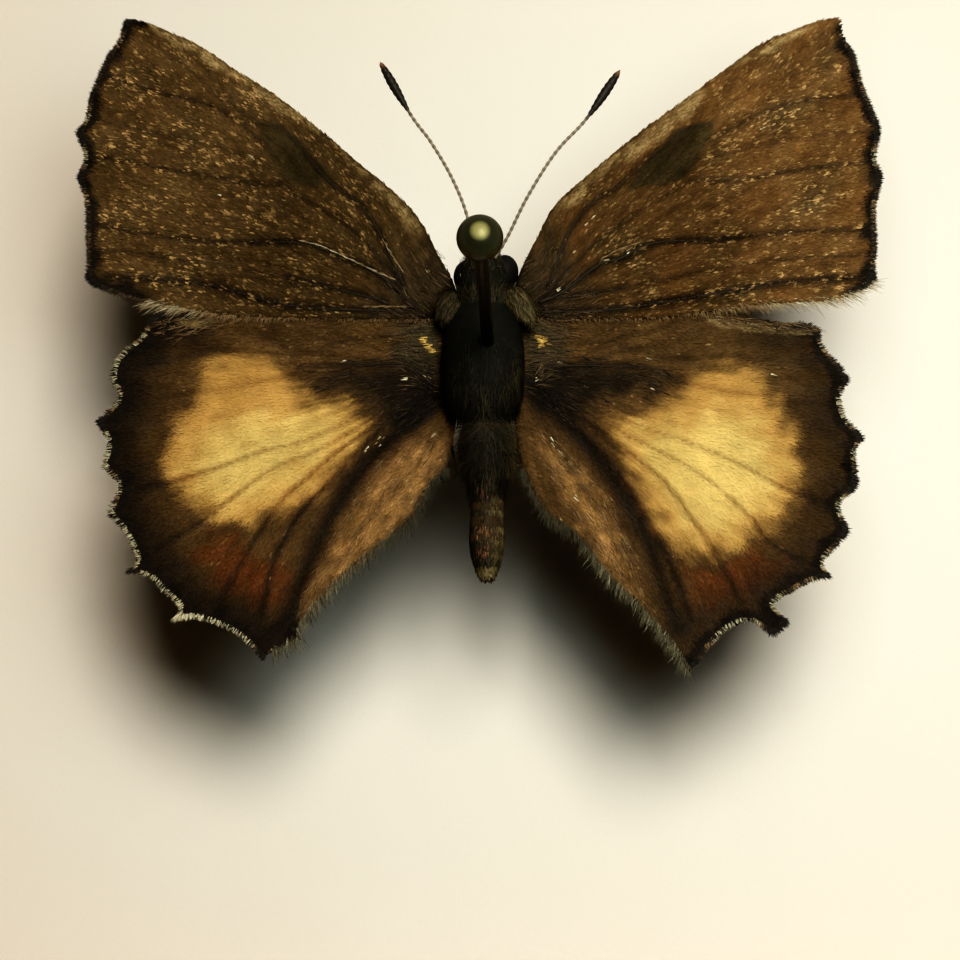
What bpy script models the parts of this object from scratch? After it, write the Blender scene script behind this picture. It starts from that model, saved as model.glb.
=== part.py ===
"""A pinned butterfly in a small, low-walled wooden collection drawer.

Run with:  blender --background --python part.py   (metres, +Z up)

The drawer's front faces -Y and the butterfly's head points to +Y. The origin is at the
bottom, in the middle of the drawer and its knob together.
"""
import math

import bmesh
import bpy
from mathutils import Matrix, Vector

MM = 0.001
GAP = 0.1 * MM                      # glue line between neighbouring pieces

# Drawer ------------------------------------------------------------------------------
INSIDE = 56.0 * MM                  # clear width and depth between the walls
WALL = 5.0 * MM                     # wall thickness
BOARD = 2.5 * MM                    # bottom board thickness
FOAM = 12.0 * MM                    # pinning foam thickness
PAPER = 0.25 * MM                   # lining thickness
WALL_LOW = BOARD + GAP              # walls stand on the bottom board
WALL_HIGH = 22.6 * MM               # top edge of the walls
FINGERS = 5                         # finger slots in each corner joint
SPARE = 1.0 * MM                    # how far a cutter overshoots an outer face
OUTSIDE = INSIDE + 2 * WALL
FOAM_TOP = BOARD + GAP + FOAM
LINING_TOP = FOAM_TOP + GAP + PAPER

KNOB_OUT = 7.0 * MM                 # how far the knob stands out from the front
KNOB_HEIGHT = 12.6 * MM             # height of the knob's axis
TENON_RADIUS = 1.2 * MM             # knob tenon, glued into the front wall
TENON_DEEP = 3.0 * MM
CENTRE_Y = KNOB_OUT / 2             # drawer centre, so the knob is inside a centred box

# Knob: (radius, distance out from the front wall) in millimetres, from its crown inwards
# over neck and flange. Its tenon follows, ending short of the socket's floor.
KNOB_PROFILE = [
    (0.0, 7.0), (1.2, 6.9), (2.4, 6.4), (3.2, 5.4), (3.4, 4.5), (3.1, 3.6), (2.2, 2.8),
    (1.5, 2.1), (1.4, 1.5), (1.9, 1.0), (2.6, 0.8), (2.6, 0.1), (1.2, 0.1), (1.2, -2.8),
    (0.0, -2.8),
]

# Specimen ----------------------------------------------------------------------------
WING_HEIGHT = 27.0 * MM             # level of the forewing roots
WING_THICK = 0.2 * MM
HINDWING_DROP = 0.45 * MM           # hindwings lie this far below the forewings
DIHEDRAL = math.radians(2.5)        # wings rise towards their tips
WING_ROOT_X = 1.5 * MM              # where that rise begins

PIN_ENTRY = Vector((0.12, -0.6, 28.3)) * MM     # where the pin enters the thorax
PIN_LEAN_BACK = math.radians(7.0)
PIN_LEAN_LEFT = math.radians(2.0)
PIN_RADIUS = 0.25 * MM
PIN_ABOVE = 9.4 * MM                # from the entry up to the head's centre
PIN_BELOW = 24.0 * MM               # from the entry down to the point
PIN_POINT = 1.6 * MM                # length of the sharpened tip
PIN_HEAD_RADIUS = 0.87 * MM
PIN_HEAD_RINGS = 9                  # bands of the head from its top to its underside
BORE_RADIUS = PIN_RADIUS + 0.08 * MM

TURN_STEPS = 20                     # facets round a turned piece

# Wing outlines, seen from above, in millimetres from the drawer's centre: costa from the
# root to the apex, outer margin with its teeth, and back along the inner margin.
LEFT_FOREWING = [
    (-1.6, 2.3), (-1.8, 3.6), (-2.5, 5.1), (-3.5, 6.3), (-5.1, 7.7), (-6.8, 9.2),
    (-8.5, 10.6), (-10.2, 11.7), (-11.8, 12.8), (-13.5, 13.6), (-14.4, 13.9),
    (-14.9, 13.8), (-15.2, 12.9), (-15.7, 12.0), (-16.2, 10.6), (-16.4, 9.4),
    (-16.7, 8.7), (-16.4, 7.7), (-16.6, 6.8), (-16.3, 5.8), (-16.2, 4.5), (-16.1, 3.1),
    (-16.0, 2.3), (-15.0, 1.8), (-13.6, 1.4), (-11.5, 1.0), (-9.5, 0.8), (-5.5, 0.8),
    (-1.9, 0.9),
]
RIGHT_FOREWING = [
    (1.6, 2.3), (1.65, 3.6), (2.1, 4.6), (2.6, 5.6), (3.3, 6.4), (4.7, 7.7), (6.4, 9.1),
    (8.1, 10.4), (9.8, 11.7), (11.4, 12.9), (13.1, 13.6), (14.1, 13.95), (14.8, 13.9),
    (14.9, 13.2), (15.3, 12.2), (15.6, 10.9), (16.0, 9.7), (16.2, 8.8), (16.0, 7.7),
    (16.2, 6.8), (15.9, 5.4), (15.9, 4.0), (15.8, 3.1), (15.7, 2.3), (14.9, 1.7),
    (13.6, 1.4), (11.1, 1.3), (8.7, 1.0), (6.3, 0.8), (1.9, 1.0),
]
LEFT_HINDWING = [
    (-1.9, 1.2), (-6.0, 1.9), (-10.0, 1.8), (-12.4, 1.25), (-13.4, 0.9), (-13.8, 0.2),
    (-14.4, -0.3), (-14.9, -0.9), (-15.0, -1.7), (-14.7, -2.4), (-15.2, -3.1),
    (-15.5, -3.5), (-15.1, -4.3), (-15.2, -5.3), (-14.6, -6.1), (-14.9, -7.2),
    (-14.3, -8.0), (-13.8, -9.1), (-14.1, -9.6), (-13.3, -9.8), (-12.8, -10.3),
    (-12.1, -11.0), (-12.2, -11.5), (-11.4, -11.5), (-10.6, -11.7), (-9.8, -12.1),
    (-9.2, -12.6), (-8.7, -13.1), (-8.3, -12.8), (-7.4, -12.3), (-7.2, -11.6),
    (-5.8, -10.0), (-4.2, -8.5), (-2.8, -7.3), (-2.1, -5.9), (-1.5, -5.2),
    (-1.5, -2.4), (-1.7, -0.5),
]
RIGHT_HINDWING = [
    (1.9, 1.2), (6.0, 1.9), (9.0, 1.5), (10.4, 1.1), (12.0, 0.8), (13.3, 0.5),
    (13.7, -0.3), (14.4, -1.2), (14.6, -1.7), (14.3, -2.4), (14.5, -3.3), (15.1, -4.1),
    (14.8, -4.7), (14.8, -6.1), (14.1, -6.9), (14.4, -7.9), (14.0, -8.5), (13.4, -9.2),
    (13.6, -9.8), (12.9, -10.0), (12.1, -10.4), (11.4, -10.9), (11.9, -11.6),
    (11.3, -12.1), (10.5, -11.6), (9.7, -11.8), (8.9, -12.5), (8.3, -13.3),
    (7.9, -13.5), (7.3, -12.6), (6.1, -11.0), (4.8, -9.7), (3.6, -8.1), (2.5, -7.3),
    (1.8, -6.2), (1.5, -5.2), (1.5, -2.5), (1.7, -0.5),
]

# Body pieces, turned about the body's length: (distance from the front end, radius) in
# millimetres. A piece's depth factor stretches its round section upright.
HEAD_FRONT = Vector((-0.05, 3.55, 27.25)) * MM
HEAD_PROFILE = [(0.0, 0.35), (0.1, 0.7), (0.4, 1.03), (0.8, 1.15), (1.15, 0.95), (1.45, 0.6)]
HEAD_DEPTH = 0.8
THORAX_FRONT = Vector((-0.08, 1.95, 27.2)) * MM
THORAX_PROFILE = [
    (0.0, 0.5), (0.3, 0.88), (1.0, 1.18), (2.1, 1.32), (3.2, 1.3), (4.2, 1.08),
    (4.8, 0.85), (5.0, 0.7),
]
THORAX_DEPTH = 1.12
ABDOMEN_FRONT = Vector((-0.05, -3.15, 26.95)) * MM
ABDOMEN_PROFILE = [
    (0.0, 0.7), (0.4, 0.95), (1.1, 1.06), (2.2, 0.92), (3.4, 0.78), (4.6, 0.82),
    (5.5, 0.7), (6.2, 0.48), (6.65, 0.2),
]
ABDOMEN_DEPTH = 1.1
ABDOMEN_DROOP = math.radians(5.0)

# Antennae: knots from the head to the tip, in millimetres from the drawer's centre. The
# part between the last two knots is the club.
ANTENNA_RADIUS = 0.065 * MM
CLUB_SWELL = 2.9                    # club radius over shaft radius
ANTENNA_STEPS = 4                   # path points from each knot to the next
LEFT_ANTENNA = [
    (-0.4, 3.1, 28.25), (-0.72, 4.66, 28.9), (-1.33, 6.14, 29.3), (-2.18, 7.57, 29.6),
    (-2.99, 8.66, 29.8), (-4.25, 10.88, 30.0),
]
RIGHT_ANTENNA = [
    (0.4, 3.15, 28.25), (0.93, 3.92, 28.6), (1.73, 5.37, 29.3), (2.85, 7.02, 29.9),
    (4.1, 8.36, 30.2), (5.45, 10.36, 30.4),
]

# Legs and palps: the right-hand ones, mirrored for the left. The joints of a leg are in
# millimetres from the middle of the thorax, those of a palp from the drawer's centre.
LEG_RADIUS = 0.11 * MM
LEG_STEPS = 2                       # path points from each joint to the next
LEGS = {
    "fore": [(0.45, 0.9, -1.35), (1.0, 1.6, -2.0), (0.8, 2.7, -2.5), (0.6, 3.3, -2.0)],
    "mid": [(0.75, -0.3, -1.45), (1.6, 0.1, -2.2), (1.25, -0.7, -3.2), (1.1, -1.3, -3.7)],
    "hind": [(0.9, -1.5, -1.35), (1.7, -2.3, -2.1), (1.35, -3.8, -3.0), (1.15, -4.7, -3.5)],
}
THORAX_MIDDLE = Vector((0.0, 0.0, 27.2)) * MM
PALP_RADIUS = 0.14 * MM
PALP_TAPER = [1.0, 0.9, 0.5]
PALP = [(0.25, 3.68, 26.75), (0.3, 4.1, 26.85), (0.28, 4.6, 27.15)]


def clear_scene():
    """Empty the scene."""
    for obj in list(bpy.data.objects):
        bpy.data.objects.remove(obj, do_unlink=True)


def new_collection(name):
    """Add a collection to the scene."""
    collection = bpy.data.collections.new(name)
    bpy.context.scene.collection.children.link(collection)
    return collection


def new_material(name, color, roughness, metallic=0.0):
    """A Principled material."""
    material = bpy.data.materials.new(name)
    material.use_nodes = True
    shader = material.node_tree.nodes["Principled BSDF"]
    shader.inputs["Base Color"].default_value = (*color, 1.0)
    shader.inputs["Roughness"].default_value = roughness
    shader.inputs["Metallic"].default_value = metallic
    material.diffuse_color = (*color, 1.0)
    return material


def add(name, data, collection, parent, location=(0, 0, 0), rotation=(0, 0, 0)):
    """Put new object data in a collection, placed by its parent."""
    obj = bpy.data.objects.new(name, data)
    collection.objects.link(obj)
    obj.parent = parent
    obj.location = location
    obj.rotation_euler = rotation
    return obj


def add_empty(name, collection, parent=None, location=(0, 0, 0), rotation=(0, 0, 0)):
    """A guide that other objects are parented to."""
    return add(name, None, collection, parent, location, rotation)


def finish(obj, material):
    """Give an object its material."""
    obj.data.materials.clear()
    obj.data.materials.append(material)
    return obj


def block(name, size, centre, collection, parent):
    """A rectangular block from a cube."""
    mesh = bpy.data.meshes.new(name)
    form = bmesh.new()
    bmesh.ops.create_cube(form, size=1.0, matrix=Matrix.Diagonal((*size, 1.0)))
    form.to_mesh(mesh)
    form.free()
    return add(name, mesh, collection, parent, centre)


def rod(name, radius, low, high, collection, parent):
    """A plain cylinder along its parent's Z axis, from low to high."""
    mesh = bpy.data.meshes.new(name)
    form = bmesh.new()
    bmesh.ops.create_cone(
        form, cap_ends=True, segments=TURN_STEPS, radius1=radius, radius2=radius, depth=high - low
    )
    form.to_mesh(mesh)
    form.free()
    return add(name, mesh, collection, parent, (0, 0, (low + high) / 2))


def turned(name, profile, collection, parent, location=(0, 0, 0), rotation=(0, 0, 0)):
    """A profile of (radius, height) points, top to bottom, turned about Z."""
    mesh = bpy.data.meshes.new(name)
    points = [(radius, 0.0, height) for radius, height in profile]
    mesh.from_pydata(points, [(i, i + 1) for i in range(len(points) - 1)], [])
    obj = add(name, mesh, collection, parent, location, rotation)
    screw = obj.modifiers.new("Turn", "SCREW")
    screw.steps = screw.render_steps = TURN_STEPS
    screw.use_merge_vertices = True
    screw.merge_threshold = 0.001 * MM
    screw.use_smooth_shade = True
    return obj


def plate(name, outline, thickness, collection, parent, location, rotation):
    """A flat outline with half its thickness on each side, as a mesh."""
    curve = bpy.data.curves.new(name, "CURVE")
    curve.dimensions = "2D"
    curve.fill_mode = "BOTH"
    curve.extrude = thickness / 2
    spline = curve.splines.new("POLY")
    spline.points.add(len(outline) - 1)
    for point, (x, y) in zip(spline.points, outline):
        point.co = (x, y, 0.0, 1.0)
    spline.use_cyclic_u = True
    return as_mesh(add(name, curve, collection, parent, location, rotation))


def as_mesh(obj):
    """Turn a curve object into a closed mesh object with the same name and place."""
    bpy.context.view_layer.update()
    evaluated = obj.evaluated_get(bpy.context.evaluated_depsgraph_get())
    mesh = bpy.data.meshes.new_from_object(evaluated)
    form = bmesh.new()
    form.from_mesh(mesh)
    bmesh.ops.remove_doubles(form, verts=form.verts, dist=0.001 * MM)
    bmesh.ops.dissolve_limit(
        form, angle_limit=math.radians(0.5), verts=form.verts, edges=form.edges
    )
    bmesh.ops.recalc_face_normals(form, faces=form.faces)
    form.to_mesh(mesh)
    form.free()
    name, collection, parent = obj.name, obj.users_collection[0], obj.parent
    location, rotation = obj.location.copy(), obj.rotation_euler.copy()
    bpy.data.objects.remove(obj, do_unlink=True)
    return add(name, mesh, collection, parent, location, rotation)


def tube(name, points, radius, collection, parent, swell=None):
    """A round tube through the points; swell gives each point its share of the radius."""
    curve = bpy.data.curves.new(name, "CURVE")
    curve.dimensions = "3D"
    curve.bevel_depth = radius
    curve.bevel_resolution = 2
    curve.use_fill_caps = True
    spline = curve.splines.new("POLY")
    spline.points.add(len(points) - 1)
    for index, point in enumerate(points):
        spline.points[index].co = (*point, 1.0)
        spline.points[index].radius = swell[index] if swell else 1.0
    return add(name, curve, collection, parent)


def smooth_path(knots, steps):
    """Points of a smooth curve through the knots, with so many steps between two knots."""
    ends = [2 * knots[0] - knots[1], *knots, 2 * knots[-1] - knots[-2]]
    path = []
    for step in range((len(knots) - 1) * steps + 1):
        span = min(step // steps, len(knots) - 2)
        t = step / steps - span
        a, b, c, d = ends[span:span + 4]
        path.append(
            0.5 * (2 * b + (c - a) * t + (2 * a - 5 * b + 4 * c - d) * t ** 2
                   + (3 * b - a - 3 * c + d) * t ** 3)
        )
    return path


def cut(obj, cutter):
    """Cut one object by another."""
    boolean = obj.modifiers.new(cutter.name, "BOOLEAN")
    boolean.operation = "DIFFERENCE"
    boolean.solver = "EXACT"
    boolean.object = cutter


def as_cutter(obj):
    """Mark an object as a cutter."""
    obj.hide_render = True
    obj.display_type = "WIRE"
    return obj


def finger_cutters(slots, across_x, cutters, centre):
    """Blocks that clear every given slot of the corner joints at both ends of a wall."""
    height = (WALL_HIGH - WALL_LOW) / FINGERS
    near = INSIDE / 2 - GAP
    far = OUTSIDE / 2 + SPARE
    blocks = []
    for slot in slots:
        low = WALL_LOW + slot * height - (GAP / 2 if slot > 0 else SPARE)
        high = WALL_LOW + (slot + 1) * height + (GAP / 2 if slot < FINGERS - 1 else SPARE)
        for side in (-1, 1):
            middle = side * (near + far) / 2
            size = [far - near, 2 * far, high - low]
            place = [middle, 0, (low + high) / 2]
            if not across_x:
                size[0], size[1] = size[1], size[0]
                place[0], place[1] = place[1], place[0]
            name = f"finger_slot_{'x' if across_x else 'y'}_{slot}_{side}"
            blocks.append(as_cutter(block(name, size, place, cutters, centre)))
    return blocks


def make_drawer(collection, cutters, centre, bore):
    """Walls, bottom board, foam, lining and knob."""
    oak = new_material("oak", (0.42, 0.27, 0.14), 0.5)
    plywood = new_material("plywood", (0.6, 0.45, 0.28), 0.65)
    foam_white = new_material("foam", (0.88, 0.87, 0.83), 0.9)
    cream_paper = new_material("cream paper", (0.92, 0.89, 0.78), 0.85)
    brass = new_material("brass", (0.72, 0.53, 0.22), 0.3, 1.0)

    middle = (INSIDE + WALL) / 2
    height = WALL_HIGH - WALL_LOW
    level = (WALL_HIGH + WALL_LOW) / 2
    odd_slots = finger_cutters(range(1, FINGERS, 2), True, cutters, centre)
    even_slots = finger_cutters(range(0, FINGERS, 2), False, cutters, centre)
    walls = {
        "drawer_front": ((OUTSIDE, WALL, height), (0, -middle, level), odd_slots),
        "drawer_back": ((OUTSIDE, WALL, height), (0, middle, level), odd_slots),
        "drawer_side_left": ((WALL, OUTSIDE, height), (-middle, 0, level), even_slots),
        "drawer_side_right": ((WALL, OUTSIDE, height), (middle, 0, level), even_slots),
    }
    for name, (size, place, slots) in walls.items():
        wall = finish(block(name, size, place, collection, centre), oak)
        for slot in slots:
            cut(wall, slot)

    board = block("bottom_board", (OUTSIDE, OUTSIDE, BOARD), (0, 0, BOARD / 2), collection, centre)
    finish(board, plywood)
    fit = INSIDE - 2 * GAP
    sheets = {
        "pinning_foam": (FOAM, FOAM_TOP, foam_white),
        "paper_lining": (PAPER, LINING_TOP, cream_paper),
    }
    for name, (thick, top, material) in sheets.items():
        place = (0, 0, top - thick / 2)
        cut(finish(block(name, (fit, fit, thick), place, collection, centre), material), bore)

    knob_axis = add_empty(
        "knob_axis", cutters, centre, (0, -OUTSIDE / 2, KNOB_HEIGHT), (math.radians(90), 0, 0)
    )
    knob = turned("front_knob", [(r * MM, h * MM) for r, h in KNOB_PROFILE], collection, knob_axis)
    finish(knob, brass)
    socket = rod("tenon_socket", TENON_RADIUS + GAP, -TENON_DEEP, SPARE, cutters, knob_axis)
    cut(bpy.data.objects["drawer_front"], as_cutter(socket))


def make_wings(collection, centre):
    """Two forewings above two hindwings, all rising towards their tips."""
    brown = new_material("wing brown", (0.15, 0.1, 0.06), 0.7)
    buff = new_material("wing buff", (0.45, 0.34, 0.15), 0.7)
    wings = {
        "forewing_left": (LEFT_FOREWING, -1, 0.0, brown),
        "forewing_right": (RIGHT_FOREWING, 1, 0.0, brown),
        "hindwing_left": (LEFT_HINDWING, -1, HINDWING_DROP, buff),
        "hindwing_right": (RIGHT_HINDWING, 1, HINDWING_DROP, buff),
    }
    for name, (outline, side, drop, material) in wings.items():
        root = Vector((side * WING_ROOT_X, 0.0, WING_HEIGHT - drop))
        flat = [(x * MM - root.x, y * MM) for x, y in outline]
        wing = plate(name, flat, WING_THICK, collection, centre, root, (0, -side * DIHEDRAL, 0))
        finish(wing, material)


def make_body_piece(name, front, profile, depth, droop, material, collection, centre):
    """A turned body piece: its front end at a point, its length running to -Y."""
    points = [(radius * MM, -along * MM) for along, radius in profile]
    closed = [(0.0, points[0][1]), *points, (0.0, points[-1][1])]
    turn = (math.radians(-90) + droop, 0, 0)
    piece = turned(name, closed, collection, centre, front, turn)
    piece.scale = (1.0, depth, 1.0)
    return finish(piece, material)


def make_body(collection, centre, bore):
    """Head, thorax and abdomen."""
    dark = new_material("body black", (0.03, 0.028, 0.022), 0.75)
    tan = new_material("abdomen tan", (0.16, 0.1, 0.05), 0.7)
    pieces = {
        "head": (HEAD_FRONT, HEAD_PROFILE, HEAD_DEPTH, 0.0, dark),
        "thorax": (THORAX_FRONT, THORAX_PROFILE, THORAX_DEPTH, 0.0, dark),
        "abdomen": (ABDOMEN_FRONT, ABDOMEN_PROFILE, ABDOMEN_DEPTH, ABDOMEN_DROOP, tan),
    }
    for name, shape in pieces.items():
        make_body_piece(name, *shape, collection, centre)
    cut(bpy.data.objects["thorax"], bore)


def make_antennae(collection, centre):
    """Two thin antennae, each ending in a club."""
    dark = new_material("antenna grey", (0.08, 0.07, 0.05), 0.6)
    for name, route in (("antenna_left", LEFT_ANTENNA), ("antenna_right", RIGHT_ANTENNA)):
        path = smooth_path([Vector(knot) * MM for knot in route], ANTENNA_STEPS)
        shaft = [1.0] * (len(path) - ANTENNA_STEPS)
        club = [
            1.0 + (CLUB_SWELL - 1.0) * math.sin(math.pi * (step + 0.6) / ANTENNA_STEPS) ** 0.6
            for step in range(ANTENNA_STEPS)
        ]
        finish(tube(name, path, ANTENNA_RADIUS, collection, centre, shaft + club), dark)


def make_legs_and_palps(collection, centre):
    """Six folded legs under the thorax and two palps in front of the head."""
    brown = new_material("leg brown", (0.1, 0.07, 0.04), 0.6)
    for side, word in ((-1, "left"), (1, "right")):
        for pair, route in LEGS.items():
            joints = [THORAX_MIDDLE + Vector((side * x, y, z)) * MM for x, y, z in route]
            path = smooth_path(joints, LEG_STEPS)
            leg = tube(f"{pair}_leg_{word}", path, LEG_RADIUS, collection, centre)
            finish(leg, brown)
        ends = [Vector((side * x, y, z)) * MM for x, y, z in PALP]
        finish(tube(f"palp_{word}", ends, PALP_RADIUS, collection, centre, PALP_TAPER), brown)


def make_pin(collection, cutters, pin_axis):
    """The steel pin and its moulded head, on the leaning axis."""
    steel = new_material("pin steel", (0.09, 0.09, 0.085), 0.35, 1.0)
    olive = new_material("pin head olive", (0.09, 0.09, 0.04), 0.25)
    shaft_profile = [
        (0.0, PIN_ABOVE), (PIN_RADIUS, PIN_ABOVE), (PIN_RADIUS, PIN_POINT - PIN_BELOW),
        (0.0, -PIN_BELOW),
    ]
    finish(turned("pin_shaft", shaft_profile, collection, pin_axis), steel)
    ball = []
    for ring in range(PIN_HEAD_RINGS + 1):
        angle = math.pi * ring / PIN_HEAD_RINGS
        ball.append((PIN_HEAD_RADIUS * math.sin(angle), PIN_ABOVE + PIN_HEAD_RADIUS * math.cos(angle)))
    head = finish(turned("pin_head", ball, collection, pin_axis), olive)
    socket = rod(
        "head_socket", BORE_RADIUS, PIN_ABOVE - 2 * PIN_HEAD_RADIUS, PIN_ABOVE + GAP, cutters, pin_axis
    )
    cut(head, as_cutter(socket))


def main():
    """Build the drawer and the specimen."""
    clear_scene()
    collection = new_collection("insect collection drawer")
    cutters = new_collection("cutters and guides")
    centre = add_empty("drawer_centre", cutters, None, (0, CENTRE_Y, 0))
    pin_axis = add_empty(
        "pin_axis", cutters, centre, PIN_ENTRY, (-PIN_LEAN_BACK, -PIN_LEAN_LEFT, 0)
    )
    bore = as_cutter(rod("pin_bore", BORE_RADIUS, -PIN_BELOW - GAP, PIN_ABOVE, cutters, pin_axis))
    make_drawer(collection, cutters, centre, bore)
    make_wings(collection, centre)
    make_body(collection, centre, bore)
    make_antennae(collection, centre)
    make_legs_and_palps(collection, centre)
    make_pin(collection, cutters, pin_axis)


main()
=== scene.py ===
"""Looks of a pinned butterfly in a small, low-walled wooden collection drawer.

Run inside Blender 4.5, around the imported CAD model. Shapes are worked out in millimetres
from the middle of the drawer's underside: +X right, +Y towards the head, +Z up.
"""
import math

import bmesh
import bpy
import numpy as np
from mathutils import Euler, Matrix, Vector
from mathutils.geometry import delaunay_2d_cdt


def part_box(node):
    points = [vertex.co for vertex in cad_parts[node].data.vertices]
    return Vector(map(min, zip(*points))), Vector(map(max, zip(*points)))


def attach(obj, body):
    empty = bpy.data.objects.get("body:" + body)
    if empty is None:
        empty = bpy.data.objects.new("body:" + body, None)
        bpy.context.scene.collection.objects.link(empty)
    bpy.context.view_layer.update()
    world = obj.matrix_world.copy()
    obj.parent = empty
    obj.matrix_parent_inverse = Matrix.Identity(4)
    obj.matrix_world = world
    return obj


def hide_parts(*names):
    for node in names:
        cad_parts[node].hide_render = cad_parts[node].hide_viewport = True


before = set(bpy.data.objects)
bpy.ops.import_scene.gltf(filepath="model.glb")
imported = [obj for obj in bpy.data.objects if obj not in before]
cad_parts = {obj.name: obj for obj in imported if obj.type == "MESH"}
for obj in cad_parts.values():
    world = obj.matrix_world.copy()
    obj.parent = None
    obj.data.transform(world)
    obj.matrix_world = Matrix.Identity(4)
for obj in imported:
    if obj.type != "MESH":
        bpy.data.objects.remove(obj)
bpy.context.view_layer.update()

bl_info = {
    "name": "Pinned butterfly in a drawer",
    "version": (1, 0, 0),
    "blender": (4, 5, 0),
    "location": "3D View > Sidebar > Specimen",
    "description": "Finishes a small collection drawer and the spread butterfly pinned in it",
    "category": "Object",
}

MM = 0.001
TURN = 2 * math.pi
CENTRE_Y = sum(corner.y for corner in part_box("bottom_board")) / 2

# --- Specimen: places in millimetres ---
WING_HEIGHT = 27.0  # level of the forewing roots
HINDWING_DROP = 0.45  # hindwings lie this far below the forewings
DIHEDRAL = math.radians(2.5)  # wings rise towards their tips
WING_ROOT_X = 1.5  # where that rise begins

# Each wing, measured on the photograph: its CAD node; its outline from the root along the costa,
# round the outer margin and back; the knots of the outline where the outer margin and the hairy
# inner edge begin and end; its veins from root to margin; its coloured patches; painted highlights
# along the raised veins, laid as pale streaks of scales, with their tone; stretches of pale and of
# rusty fringe; painted glints as loose pale scales, and painted golden glints as golden scales; and
# the place of a pale tuft.
LEFT_FOREWING = dict(
    node="forewing_left",
    outline=[
        (-1.1, 2.3), (-1.75, 3.6), (-2.5, 5.1), (-3.5, 6.3), (-5.1, 7.7), (-6.8, 9.2), (-8.5, 10.6),
        (-10.2, 11.7), (-11.8, 12.8), (-13.5, 13.6), (-14.4, 13.9), (-14.9, 13.8), (-15.2, 12.9),
        (-15.7, 12), (-16.2, 10.6), (-16.4, 9.4), (-16.7, 8.7), (-16.4, 7.7), (-16.6, 6.8), (-16.3, 5.8),
        (-16.2, 4.5), (-16.1, 3.1), (-16, 2.3), (-15, 1.8), (-13.6, 1.4), (-11.5, 1), (-9.5, 0.8),
        (-5.5, 0.8), (-1.2, 0.9),
    ],
    margin=(10, 24),
    inner=(24, 28),
    veins=dict(
        radius=[(-3.3, 2.3), (-4.8, 5.4), (-6.4, 6.8), (-8.2, 8.9), (-9.2, 9.2)],
        radius_tip=[(-9.2, 9.2), (-10.5, 10.1), (-12.2, 11.6), (-13.9, 12.8)],
        median_1=[(-8.8, 8.1), (-10.3, 9.5), (-11.8, 10.2), (-13.5, 10.6), (-15.5, 11.3)],
        median_2=[(-8.6, 7.2), (-10.5, 8.1), (-16.1, 9.4)],
        median_3=[(-8.3, 6.6), (-10.5, 6.8), (-16.2, 7.8)],
        cell=[(-3, 1.6), (-4.1, 3.2), (-5.5, 4.8), (-7.6, 6.1), (-8.3, 6.7)],
        cubitus=[(-2.7, 1.3), (-4.5, 2.9), (-6.5, 3.8), (-7.5, 4.1), (-9.4, 4.1)],
        cubitus_1=[(-9.4, 4.1), (-11, 4.1), (-13.2, 4.3), (-15.9, 4.8)],
        cubitus_2=[(-3.9, 1.5), (-4.7, 1.8), (-7.9, 2.6)],
        cubitus_tip=[(-7.9, 2.6), (-13.6, 3.5), (-15.8, 3.6)],
        anal_vein=[(-2.3, 0.9), (-3.4, 1.2), (-7.9, 1.4), (-11.6, 2.3), (-15.2, 2.5)],
    ),
    patches=dict(
        costa_tip=[
            (-13.9, 13.7), (-11.8, 12.7), (-10.2, 11.5), (-10.2, 11.2), (-12.7, 12.6), (-13.5, 13.1),
        ],
        costa_middle=[(-10.2, 11.7), (-7.4, 9.8), (-6.4, 8.9), (-6.4, 8.5), (-9, 10.1), (-9.8, 10.8)],
        costa_base=[
            (-6.4, 8.9), (-2.9, 5.7), (-2.3, 4.8), (-2.7, 4.3), (-3.4, 4.8), (-4, 5.8), (-6.1, 8.2),
        ],
        brand=[(-9.3, 9.2), (-8.8, 9.4), (-8.1, 9.1), (-6, 6.8), (-6.6, 6.5), (-8.2, 6.7)],
    ),
    vein_highlights=[
        ([(-7.6, 4.2), (-6.8, 4), (-5.7, 3.5), (-4.7, 3), (-3.8, 2.6)], 0.85),
        ([(-4.2, 4.3), (-3.8, 3.6), (-3.4, 3)], 0.7), ([(-5, 1.4), (-3.2, 1.4)], 0.6),
    ],
    glints=[(-2.3, 2.9), (-9.5, 7.7), (-10.7, 6.1)],
)
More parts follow.
